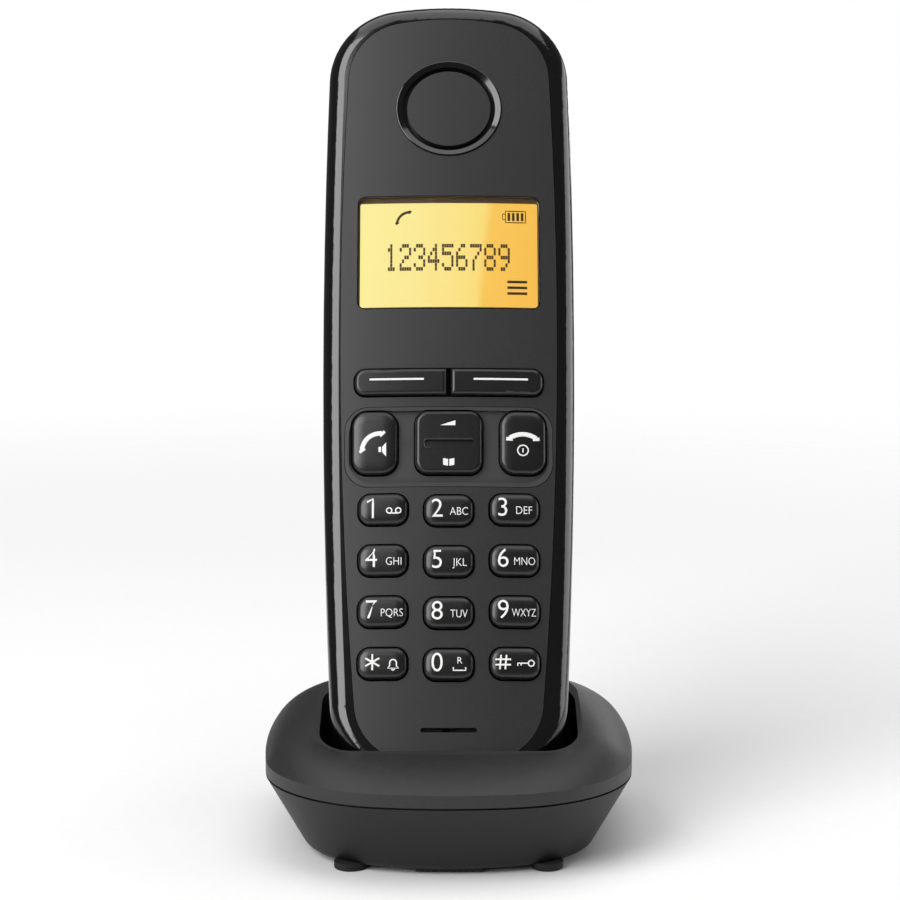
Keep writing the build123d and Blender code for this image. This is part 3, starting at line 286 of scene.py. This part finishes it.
finishes = {
    polishedAbs: ["front_frame", "earpiece_ring"],
    sparkErodedAbs: ["face_plate", "earpiece_cap"],
    satinAbs: ["back_housing", "battery_cover"],
    smoothAbs: ["base_bottom_shell"],
    grainedAbs: ["base_top_shell"],
    lacqueredAbs: ["nav_tray"],
    lacqueredCap: ["nav_rocker", "softkey_left", "softkey_right", "paging_key"],
    moulding: ["microphone", "contact_barrels", "line_socket", "power_socket", "paging_switch",
               "earpiece_capsule", "handsfree_speaker", "lcd_module"],
    mouldedRubber: ["base_feet"],
    siliconeMat: ["keypad_mat"],
    solderResist: ["handset_board", "base_board"],
    shrinkFilm: ["battery_cell_left", "battery_cell_right"],
    nickelPlate: ["battery_springs", "battery_plates", "handset_screws", "base_screws"],
    goldFlash: ["charge_pads", "charge_contact_left", "charge_contact_right", "handset_antenna",
                "base_antenna"],
}
for finish, names in finishes.items():
    for nodeName in names:
        mesh = cadNodes[nodeName].data
        mesh.materials.clear()
        mesh.materials.append(finish)
print("finishes given to the CAD nodes")


def clearSelection():
    if bpy.context.object and bpy.context.object.mode != "OBJECT":
        bpy.ops.object.mode_set(mode="OBJECT")
    bpy.ops.object.select_all(action="DESELECT")


def pickUp(piece):
    clearSelection()
    piece.select_set(True)
    bpy.context.view_layer.objects.active = piece


def settle(piece, place):
    # puts a finished piece's place into its mesh
    pickUp(piece)
    piece.matrix_world = place @ piece.matrix_world
    bpy.ops.object.transform_apply(location=True, rotation=True, scale=True)
    return piece


def crownDrop(x):
    # how far the crowned face falls away behind its middle line, in millimetres
    return x * x / (2 * stance["crownRadius"])


def pickFaces(piece, wanted):
    # selects in edit mode the faces whose normal and middle pass the test
    bpy.ops.mesh.select_mode(type="FACE")
    bpy.ops.mesh.select_all(action="DESELECT")
    bpy.ops.object.mode_set(mode="OBJECT")
    for polygon in piece.data.polygons:
        polygon.select = wanted(polygon.normal, polygon.center)
    bpy.ops.object.mode_set(mode="EDIT")


def roundedSlab(name, width, height, corner, low, high, segments=8):
    # a slab in millimetres with its four upright edges rounded, left in edit mode
    clearSelection()
    bpy.ops.mesh.primitive_cube_add(size=1, location=(0, 0, (low + high) / 2 * mm))
    slab = bpy.context.object
    slab.name = name
    slab.scale = (width * mm, height * mm, (high - low) * mm)
    bpy.ops.object.transform_apply(location=True, rotation=True, scale=True)
    bpy.ops.object.mode_set(mode="EDIT")
    bpy.ops.mesh.select_mode(type="EDGE")
    bpy.ops.mesh.select_all(action="DESELECT")
    bpy.ops.object.mode_set(mode="OBJECT")
    for edge in slab.data.edges:
        ends = [slab.data.vertices[i].co for i in edge.vertices]
        edge.select = abs(ends[0].z - ends[1].z) > 0.1 * mm
    bpy.ops.object.mode_set(mode="EDIT")
    bpy.ops.mesh.bevel(offset=corner * mm, segments=segments, affect="EDGES")
    return slab


# key caps: straight skirt, a rounded shoulder, then a shallow dome
# each crown step is (inwards, upwards) in millimetres
digitKey = {"width": 9.2, "height": 5.9, "corner": 2.3, "foot": -3.8, "skirtTop": 0.30,
            "crown": [(0.06, 0.22), (0.14, 0.22), (0.24, 0.18), (0.36, 0.14), (0.5, 0.1), (0.55, 0.05)],
            "column": 12.3, "topRow": 51.5, "pitch": 9.72, "smile": 0.25}
callKey = {"width": 8.6, "height": 12.1, "corner": 2.9, "foot": -3.8, "skirtTop": -0.05,
           "crown": [(0.07, 0.24), (0.16, 0.2), (0.3, 0.16), (0.45, 0.1), (0.6, 0.07), (0.8, 0.05)],
           "column": 14.0, "at": 64.7}


capHollow = {"wall": 0.4, "taper": 0.01, "depth": 1.2}


def shapeCap(name, look, finish):
    cap = roundedSlab(name, look["width"], look["height"], look["corner"], look["foot"], look["skirtTop"])
    pickFaces(cap, lambda normal, middle: normal.z > 0.9)
    for inwards, upwards in look["crown"]:
        bpy.ops.mesh.inset(thickness=inwards * mm, depth=upwards * mm)
    pickFaces(cap, lambda normal, middle: normal.z < -0.9)
    bpy.ops.mesh.inset(thickness=capHollow["wall"] * mm, depth=0)
    bpy.ops.mesh.inset(thickness=capHollow["taper"] * mm, depth=-capHollow["depth"] * mm)  # hollow under the cap
    bpy.ops.mesh.select_all(action="SELECT")
    bpy.ops.mesh.normals_make_consistent(inside=False)
    bpy.ops.object.mode_set(mode="OBJECT")
    cap.data.materials.append(finish)
    bpy.ops.object.shade_smooth_by_angle(angle=math.radians(40))
    return cap


def copyPiece(piece, name):
    twin = piece.copy()
    twin.data = piece.data.copy()
    twin.name = name
    bpy.context.scene.collection.objects.link(twin)
    return twin


def seatOnFace(piece, x, y):
    # turns the piece to the crowned face at (x, y) and leaves its place in its mesh
    turn = math.asin(x / stance["crownRadius"])
    spot = Matrix.Translation((x * mm, y * mm, -crownDrop(x) * mm)) @ Matrix.Rotation(turn, 4, "Y")
    return settle(piece, facePlace @ spot)


def bendToFace(piece):
    # follows the crowned face: each point drops by the crown at its own x
    for point in piece.data.vertices:
        point.co.z -= crownDrop(point.co.x / mm) * mm


digitMaster = shapeCap("digitCap", digitKey, lacqueredCap)
callMaster = shapeCap("callCap", callKey, lacqueredCap)
keySpots = {}
digitNames = ["1", "2", "3", "4", "5", "6", "7", "8", "9", "star", "0", "hash"]
for i, label in enumerate(digitNames):
    column = i % 3 - 1
    rowHeight = digitKey["topRow"] - (i // 3) * digitKey["pitch"] + abs(column) * digitKey["smile"]
    keySpots["key_" + label] = (column * digitKey["column"], rowHeight)
keySpots["talk_key"] = (-callKey["column"], callKey["at"])
keySpots["end_key"] = (callKey["column"], callKey["at"])
caps = {}
for nodeName, (x, y) in keySpots.items():
    master = callMaster if nodeName in ("talk_key", "end_key") else digitMaster
    cap = seatOnFace(copyPiece(master, nodeName + "_cap"), x, y)
    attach(cap, nodeName)
    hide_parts(nodeName)
    caps[nodeName] = cap
for master in (digitMaster, callMaster):
    bpy.data.objects.remove(master)
print("key caps shaped:", len(caps))


# earpiece: a polished ring that slopes inwards to the groove round the disc
earRing = {"at": 131.15, "radius": 10.15, "oval": 0.94, "wall": 1.15, "slope": 0.5, "proud": 0.3,
           "back": -1.48, "lip": 0.12, "lipRise": 0.05, "grooveTaper": 0.02, "steps": 3}
clearSelection()
ringHigh = earRing["proud"] - earRing["back"]
bpy.ops.mesh.primitive_cylinder_add(vertices=128, radius=earRing["radius"] * mm, depth=ringHigh * mm,
                                    location=(0, 0, (earRing["proud"] + earRing["back"]) / 2 * mm))
ring = bpy.context.object
ring.name = "earpiece_ring_sloped"
bpy.ops.object.transform_apply(location=True, rotation=True, scale=True)
bpy.ops.object.mode_set(mode="EDIT")
pickFaces(ring, lambda normal, middle: normal.z > 0.9)
bpy.ops.mesh.inset(thickness=earRing["lip"] * mm, depth=earRing["lipRise"] * mm)  # soft outer lip
for i in range(earRing["steps"]):
    bpy.ops.mesh.inset(thickness=(earRing["wall"] - earRing["lip"]) / earRing["steps"] * mm,
                       depth=-earRing["slope"] / earRing["steps"] * mm)
grooveDeep = ringHigh - earRing["slope"] - 0.12  # stops above the ring's back face
bpy.ops.mesh.inset(thickness=earRing["grooveTaper"] * mm, depth=-grooveDeep * mm)
bpy.ops.object.mode_set(mode="OBJECT")
ring.scale.y = earRing["oval"]
bpy.ops.object.transform_apply(location=True, rotation=True, scale=True)
bendToFace(ring)
ring.data.materials.append(polishedAbs)
bpy.ops.object.shade_smooth_by_angle(angle=math.radians(35))
settle(ring, facePlace @ Matrix.Translation((0, earRing["at"] * mm, 0)))
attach(ring, "handset")
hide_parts("earpiece_ring")
print("earpiece ring turned")


# display: clear window in front, amber film behind it, crystal marks between the two
display = {"at": 102.2, "width": 34.9, "height": 22.4, "corner": 1.6,
           "windowBack": -1.1, "filmFront": -1.3, "filmBack": -1.48, "markDepth": -1.24,
           "side": 0.45, "above": 1.15, "below": 0.5,  # brown border round the film
           "paneGap": 0.1, "borderGap": 0.12, "filmCorner": 0.4}


def crownedSheet(name, width, height, corner, low, high, finish, strips=10):
    sheet = roundedSlab(name, width, height, corner, low, high, segments=5)
    for i in range(1, strips):
        x = (i / strips - 0.5) * width * mm
        bpy.ops.mesh.select_all(action="SELECT")
        bpy.ops.mesh.bisect(plane_co=(x, 0, 0), plane_no=(1, 0, 0))
    bpy.ops.object.mode_set(mode="OBJECT")
    bendToFace(sheet)
    sheet.data.materials.append(finish)
    bpy.ops.object.shade_smooth_by_angle(angle=math.radians(30))
    return sheet


atDisplay = facePlace @ Matrix.Translation((0, display["at"] * mm, 0))
window = crownedSheet("display_window_pane", display["width"] - display["paneGap"],
                      display["height"] - display["paneGap"], display["corner"],
                      display["windowBack"], 0.0, windowAcrylic)
settle(window, atDisplay)
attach(window, "handset")
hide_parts("display_window")
border = crownedSheet("display_border", display["width"] - display["borderGap"],
                      display["height"] - display["borderGap"], display["corner"],
                      display["filmBack"], display["filmFront"] - 0.03, frameInk)  # just behind the film's front
settle(border, atDisplay)
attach(border, "handset")
film = crownedSheet("display_film", display["width"] - 2 * display["side"],
                    display["height"] - display["above"] - display["below"], display["filmCorner"],
                    display["filmBack"] + 0.02, display["filmFront"], amberGuide)
film.location.y = (display["below"] - display["above"]) / 2 * mm
settle(film, atDisplay)
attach(film, "handset")
print("display window and film made")


# printed marks: flat strokes and patches, joined, dropped onto the piece below them
def stepAlong(points, stride=0.9):
    # adds points on long runs, so that a mark can follow a curved key
    spots = [points[0]]
    for (x0, y0), (x1, y1) in zip(points, points[1:]):
        count = max(1, round(math.hypot(x1 - x0, y1 - y0) / stride))
        spots += [(x0 + (x1 - x0) * i / count, y0 + (y1 - y0) * i / count) for i in range(1, count + 1)]
    return spots


def strokeMark(points, width, closed=False, rise=0.05):
    # a line of constant width along points, as a flattened bead
    clearSelection()
    bpy.ops.curve.primitive_nurbs_path_add()
    drawn = bpy.context.object
    line = drawn.data
    line.splines.clear()
    points = stepAlong(points)
    run = line.splines.new("POLY")
    run.points.add(len(points) - 1)
    for spot, (x, y) in zip(run.points, points):
        spot.co = (x * mm, y * mm, 0, 1)
    run.use_cyclic_u = closed
    line.dimensions = "3D"
    line.bevel_depth = width / 2 * mm
    line.bevel_resolution = 2
    line.use_fill_caps = True
    bpy.ops.object.convert(target="MESH")
    drawn = bpy.context.object
    drawn.scale = (1, 1, rise / width)
    bpy.ops.object.transform_apply(location=True, rotation=True, scale=True)
    return drawn


def patchMark(outlines, rise=0.05):
    # filled flat shapes, each outline a closed run of points
    clearSelection()
    bpy.ops.curve.primitive_nurbs_path_add()
    drawn = bpy.context.object
    shape = drawn.data
    shape.splines.clear()
    shape.dimensions = "2D"
    shape.fill_mode = "BOTH"
    shape.extrude = rise / 2 * mm
    for outline in outlines:
        run = shape.splines.new("POLY")
        run.points.add(len(outline) - 1)
        for spot, (x, y) in zip(run.points, outline):
            spot.co = (x * mm, y * mm, 0, 1)
        run.use_cyclic_u = True
    bpy.ops.object.convert(target="MESH")
    return bpy.context.object


def wordMark(words, size, x, y, rise=0.05, thin=0.0, squeeze=1.0):
    # built-in lettering, centred on (x, y), cap height about 0.7 of size
    clearSelection()
    bpy.ops.object.text_add(location=(0, 0, 0))
    drawn = bpy.context.object
    drawn.data.body = words
    drawn.data.size = size * mm
    drawn.data.align_x = "CENTER"
    drawn.data.align_y = "CENTER"
    drawn.data.offset = -thin * mm
    drawn.data.extrude = rise / 2 * mm
    drawn.data.resolution_u = 5
    bpy.ops.object.convert(target="MESH")
    drawn = bpy.context.object
    drawn.location = (x * mm, y * mm, 0)
    drawn.scale = (squeeze, 1, 1)
    bpy.ops.object.transform_apply(location=True, rotation=True, scale=True)
    return drawn


def arcPoints(x, y, radius, start, stop, steps):
    spots = []
    for i in range(steps + 1):
        angle = math.radians(start + (stop - start) * i / steps)
        spots.append((x + radius * math.cos(angle), y + radius * math.sin(angle)))
    return spots


rayHeight = 20 * mm  # rays start this far in front of the face


def printMark(name, marks, place, under, body, finish, lift=0.02):
    # joins the marks, sets them in place and drops each point onto the surface below
    clearSelection()
    for mark in marks:
        mark.select_set(True)
    bpy.context.view_layer.objects.active = marks[0]
    bpy.ops.object.join()
    piece = bpy.context.object
    piece.name = name
    piece.data.name = name
    settle(piece, place)
    if under is not None:
        flat = [faceFlat @ vertex.co for vertex in under.data.vertices]
        tree = BVHTree.FromPolygons(flat, [polygon.vertices[:] for polygon in under.data.polygons])
        for vertex in piece.data.vertices:
            own = faceFlat @ vertex.co
            hit = tree.ray_cast(Vector((own.x, own.y, rayHeight)), Vector((0, 0, -1)))
            if hit[0] is not None:
                own.z = hit[0].z + own.z + lift * mm
                vertex.co = facePlace @ own
    piece.data.materials.clear()
    piece.data.materials.append(finish)
    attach(piece, body)
    return piece


# key legends, all sizes in millimetres from the key's middle
legend = {"digitSize": 5.1, "digitX": -2.15, "digitY": 0.15, "letterSize": 2.15, "letterX": 2.0,
          "letterY": -0.35, "thin": 0.03, "stroke": 0.42, "fine": 0.26}
letters = {"2": ("ABC", 3.4, 3.65), "3": ("DEF", 3.0, 3.3), "4": ("GHI", 2.9, 3.5), "5": ("JKL", 2.7, 3.45),
           "6": ("MNO", 3.9, 3.8), "7": ("PQRS", 4.1, 3.75), "8": ("TUV", 3.2, 3.5),
           "9": ("WXYZ", 4.5, 3.95)}  # letters, their width and where they end


def digitMark(label, x, y):
    return wordMark(label, legend["digitSize"], x, y, thin=legend["thin"], squeeze=0.95)


def keyMarks(label):
    stroke, fine = legend["stroke"], legend["fine"]
    x, y = legend["digitX"], legend["digitY"]
    lx, ly = legend["letterX"], legend["letterY"]
    if label == "1":
        figure = strokeMark([(x - 0.85, y + 1.15), (x + 0.25, y + 1.75), (x + 0.25, y - 1.9)], stroke)
        loops = [strokeMark(arcPoints(lx + side * 0.85, ly, 0.5, 0, 330, 14), fine, closed=True)
                 for side in (-1, 1)]
        tape = strokeMark([(lx - 0.85, ly - 0.5), (lx + 0.85, ly - 0.5)], fine)
        return [figure, tape] + loops
    if label in letters:
        word, wide, edge = letters[label]
        small = wordMark(word, legend["letterSize"], 0, ly, thin=0.02)
        small.scale.x = wide * mm / small.dimensions.x
        small.location.x = (edge - wide / 2) * mm
        bpy.ops.object.transform_apply(location=True, rotation=True, scale=True)
        return [digitMark(label, x, y), small]
    if label == "star":
        arms = []
        for degrees in (90, 30, 150):
            angle = math.radians(degrees)
            dx, dy = 1.5 * math.cos(angle), 1.5 * math.sin(angle)
            arms.append(strokeMark([(x + 0.3 - dx, y - dy), (x + 0.3 + dx, y + dy)], stroke * 0.85))
        dome = [(lx - 1.0, ly - 0.65), (lx - 0.62, ly - 0.2)] + arcPoints(lx, ly + 0.35, 0.62, 180, 0, 8)
        dome += [(lx + 0.62, ly - 0.2), (lx + 1.0, ly - 0.65)]
        clapper = strokeMark(arcPoints(lx, ly - 0.75, 0.26, 180, 360, 6), fine * 0.9)
        return arms + [strokeMark(dome, fine, closed=True), clapper]
    if label == "0":
        recall = wordMark("R", 1.75, lx, ly + 0.95, thin=0.01)
        space = strokeMark([(lx - 1.15, ly - 0.25), (lx - 1.15, ly - 0.85), (lx + 1.15, ly - 0.85),
                            (lx + 1.15, ly - 0.25)], fine)
        return [digitMark("0", x, y), recall, space]
    hx = x - 0.05
    bars = [strokeMark([(hx - 1.45, y + d), (hx + 1.45, y + d)], stroke * 0.8) for d in (-0.5, 0.5)]
    bars += [strokeMark([(hx + d - 0.12, y - 1.35), (hx + d + 0.12, y + 1.35)], stroke * 0.8)
             for d in (-0.5, 0.5)]
    bow = strokeMark(arcPoints(lx + 1.0, ly + 0.3, 0.55, 0, 330, 14), fine, closed=True)
    stem = strokeMark([(lx + 0.45, ly + 0.3), (lx - 1.5, ly + 0.3), (lx - 1.5, ly - 0.2)], fine)
    bit = strokeMark([(lx - 0.9, ly + 0.3), (lx - 0.9, ly - 0.12)], fine)
    return bars + [bow, stem, bit]


for label in digitNames:
    nodeName = "key_" + label
    x, y = keySpots[nodeName]
    spot = facePlace @ Matrix.Translation((x * mm, y * mm, 0))
    printMark(nodeName + "_legend", keyMarks(label), spot, caps[nodeName], nodeName, whiteInk)
print("digit legends printed")


def receiverMark(cx, cy, half, bulge, turnDeg, stroke, earLong):
    # a telephone receiver seen from the side: a bowed grip with a stub at each end
    turn = math.radians(turnDeg)
    bow = []
    for i in range(11):
        t = i / 10 * 2 - 1
        bow.append((t * half, bulge * (1 - t * t)))
    ends = [[(-half, 0.15), (-half * 1.02, -earLong)], [(half, 0.15), (half * 1.02, -earLong)]]
    placed = []
    for run in [bow] + ends:
        placed.append([(cx + px * math.cos(turn) - py * math.sin(turn),
                        cy + px * math.sin(turn) + py * math.cos(turn)) for px, py in run])
    grip, left, right = placed
    endStroke = stroke * 1.45  # ear and mouth pieces are thicker than the grip
    return [strokeMark(grip, stroke), strokeMark(left, endStroke), strokeMark(right, endStroke)]


callMarks = {"stroke": 0.9, "talkTurn": 40.0, "talkHalf": 2.45, "endHalf": 2.5}
talk = receiverMark(-0.5, 0.1, callMarks["talkHalf"], 1.0, callMarks["talkTurn"], callMarks["stroke"], 0.4)
talk.append(patchMark([[(0.75, -0.95), (1.25, -0.95), (1.25, -1.95), (0.75, -1.95)],
                       [(1.45, -0.95), (2.2, -0.1), (2.2, -2.8), (1.45, -1.95)]]))
end = receiverMark(0.0, 0.75, callMarks["endHalf"], 0.75, 0.0, callMarks["stroke"], 0.5)
end.append(strokeMark(arcPoints(0, -1.6, 1.0, 0, 345, 20), legend["fine"], closed=True))
end.append(strokeMark([(0, -1.2), (0, -2.0)], legend["fine"]))
for nodeName, marks in (("talk_key", talk), ("end_key", end)):
    x, y = keySpots[nodeName]
    spot = facePlace @ Matrix.Translation((x * mm, y * mm, 0))
    printMark(nodeName + "_legend", marks, spot, caps[nodeName], nodeName, whiteInk)

atRocker = facePlace @ Matrix.Translation((0, callKey["at"] * mm, 0))  # level with the call keys
rockerMarks = [patchMark([[(-1.6, 3.15), (1.25, 3.15), (1.25, 4.1)]]),
               patchMark([[(-1.05, -3.2), (-0.12, -3.4), (-0.12, -4.7), (-1.05, -4.5)],
                          [(0.12, -3.4), (1.05, -3.2), (1.05, -4.5), (0.12, -4.7)]])]
printMark("nav_rocker_legend", rockerMarks, atRocker, cadNodes["nav_rocker"], "nav_rocker", whiteInk)

# raised ridge across the rocker, hooked down at its left end
ridge = [(4.5, 0.5), (-4.0, 0.5)] + arcPoints(-4.0, 0.0, 0.5, 90, 180, 5) + [(-4.5, -0.7)]
ridge += arcPoints(-4.0, -0.7, 0.5, 180, 270, 5) + [(-3.3, -1.2)]
printMark("nav_rocker_ridge", [strokeMark(ridge, 0.4, rise=0.34)], atRocker, cadNodes["nav_rocker"],
          "nav_rocker", lacqueredCap)

softLine = {"at": 76.8, "middle": 9.85, "half": 5.15, "width": 0.4}
for side, nodeName in ((-1, "softkey_left"), (1, "softkey_right")):
    x = side * softLine["middle"]
    dash = strokeMark([(x - softLine["half"], softLine["at"]), (x + softLine["half"], softLine["at"])],
                      softLine["width"])
    printMark(nodeName + "_line", [dash], facePlace, cadNodes[nodeName], nodeName, whiteInk)
print("call and soft keys printed")


# crystal marks: nine figures in 5 x 7 dots, a receiver, a battery and a list sign
dotRows = {
    "1": ["00100", "01100", "00100", "00100", "00100", "00100", "01110"],
    "2": ["01110", "10001", "00001", "00110", "01000", "10000", "11111"],
    "3": ["01110", "10001", "00001", "00110", "00001", "10001", "01110"],
    "4": ["00010", "00110", "01010", "10010", "11111", "00010", "00010"],
    "5": ["11111", "10000", "11110", "00001", "00001", "10001", "01110"],
    "6": ["00110", "01000", "10000", "11110", "10001", "10001", "01110"],
    "7": ["11111", "00001", "00010", "00100", "01000", "01000", "01000"],
    "8": ["01110", "10001", "10001", "01110", "10001", "10001", "01110"],
    "9": ["01110", "10001", "10001", "01111", "00001", "00010", "01100"],
}
crystal = {"words": "123456789", "left": -12.1, "top": 1.85, "dotWide": 0.45, "dotTall": 0.77, "gap": 0.05}


def box(x0, y0, x1, y1):
    return [(x0, y0), (x1, y0), (x1, y1), (x0, y1)]


dots = []
for place, figure in enumerate(crystal["words"]):
    for row, line in enumerate(dotRows[figure]):
        for column, lit in enumerate(line):
            if lit == "1":
                x0 = crystal["left"] + (place * 6 + column) * crystal["dotWide"]
                y0 = crystal["top"] - row * crystal["dotTall"]
                dots.append(box(x0, y0 - crystal["dotTall"] + crystal["gap"],
                                x0 + crystal["dotWide"] - crystal["gap"], y0))
charge = {"left": 11.3, "step": 0.85, "wide": 0.5, "foot": 6.55, "top": 8.15, "bars": 4}
battery = [box(charge["left"] + i * charge["step"], charge["foot"],
               charge["left"] + i * charge["step"] + charge["wide"], charge["top"]) for i in range(charge["bars"])]
signs = [patchMark(dots), patchMark(battery),
         strokeMark(box(10.9, 6.2, 14.75, 8.5), 0.2, closed=True),
         strokeMark([(10.9, 7.9), (10.35, 7.9), (10.35, 6.8), (10.9, 6.8)], 0.2),
         patchMark([box(11.2, -8.2 + i * 1.15, 15.0, -8.2 + i * 1.15 + 0.5) for i in range(3)])]
signs += receiverMark(-8.75, 7.2, 1.6, 0.55, 42.0, 0.5, 0.3)
crystalPiece = printMark("display_marks", signs, atDisplay, None, "handset", segmentInk)
for vertex in crystalPiece.data.vertices:
    own = faceFlat @ vertex.co
    own.z += (display["markDepth"] - crownDrop(own.x / mm)) * mm
    vertex.co = facePlace @ own
print("display marks set")


# floor, lights and camera
clearSelection()
bpy.ops.mesh.primitive_plane_add(size=160, location=(0, 0, 0))
floor = bpy.context.object
floor.name = "paper_floor"
paperFade = (0.22, 0.6)  # the paper melts into the white backdrop between these radii, in metres
paper, tree, shader, where = startMaterial("mattePaper")
fibre = addNode(tree, "ShaderNodeTexNoise", {"Scale": 1 / (2.0 * mm), "Detail": 2.0}, {"Vector": where})
tone = addNode(tree, "ShaderNodeValToRGB", links={"Fac": fibre.outputs["Fac"]})
tone.color_ramp.elements[0].color = linear("#f6f6f6")
tone.color_ramp.elements[1].color = linear("#fafafa")
reach = addNode(tree, "ShaderNodeVectorMath", {"operation": "LENGTH"}, {0: where})
fade = addNode(tree, "ShaderNodeMapRange", {"interpolation_type": "SMOOTHSTEP", "From Min": paperFade[0],
                                            "From Max": paperFade[1], "To Min": 1.0, "To Max": 0.0},
               {"Value": reach.outputs["Value"]})
tree.links.new(tone.outputs["Color"], shader.inputs["Base Color"])
tree.links.new(fade.outputs["Result"], shader.inputs["Alpha"])
shader.inputs["Roughness"].default_value = 0.9
shader.inputs["Specular IOR Level"].default_value = 0.1
floor.data.materials.append(paper)

studio = bpy.data.worlds.new("studio")
bpy.context.scene.world = studio
studio.use_nodes = True
sky = studio.node_tree
backdrop = sky.nodes["Background"]
backdrop.inputs["Color"].default_value = (1, 1, 1, 1)
backdrop.inputs["Strength"].default_value = 1.0
glowSky = addNode(sky, "ShaderNodeBackground", {"Color": (1, 1, 1, 1), "Strength": 0.11})
seen = addNode(sky, "ShaderNodeLightPath")
pick = addNode(sky, "ShaderNodeMixShader", links={0: seen.outputs["Is Camera Ray"],
                                                  1: glowSky.outputs[0], 2: backdrop.outputs[0]})
sky.links.new(pick.outputs[0], sky.nodes["World Output"].inputs["Surface"])

softboxes = {
    "boxOverhead": {"at": (0.0, 0.1, 1.3), "aim": (0, 0, 0), "size": (1.6, 1.6), "radiance": 1.5},
    "boxLeft": {"at": (-0.66, -0.66, 0.66), "aim": (0, 0, 0.09), "size": (0.75, 0.95), "radiance": 5.2},
    "boxRight": {"at": (0.98, 0.22, 0.27), "aim": (0, 0, 0.08), "size": (1.1, 0.55), "radiance": 2.0},
    "boxBehind": {"at": (0.36, 1.0, 0.26), "aim": (0, 0, 0.05), "size": (0.42, 0.32), "radiance": 2.2},
}
for name, lamp in softboxes.items():
    aim = Vector(lamp["aim"]) - Vector(lamp["at"])
    bpy.ops.object.light_add(type="AREA", location=lamp["at"],
                             rotation=aim.to_track_quat("-Z", "Y").to_euler())
    light = bpy.context.object
    light.name = name
    light.data.shape = "RECTANGLE"
    light.data.size, light.data.size_y = lamp["size"]
    light.visible_camera = False
    light.data.energy = lamp["radiance"] * math.pi * lamp["size"][0] * lamp["size"][1]

shot = {"at": (0.24, -548.9, 159.0), "aim": (0.24, 4.19, 71.4), "lensMm": 116.5, "sensorMm": 36.0}
eye = Vector([v * mm for v in shot["at"]])
aim = Vector([v * mm for v in shot["aim"]]) - eye
bpy.ops.object.camera_add(location=eye, rotation=aim.to_track_quat("-Z", "Y").to_euler())
camera = bpy.context.object
camera.name = "shotCamera"
camera.data.lens = shot["lensMm"]
camera.data.sensor_width = shot["sensorMm"]
camera.data.clip_start = 0.01
camera.data.clip_end = 200
camera.data.dof.use_dof = False
bpy.context.scene.camera = camera
clearSelection()
print("floor, lights and camera set")
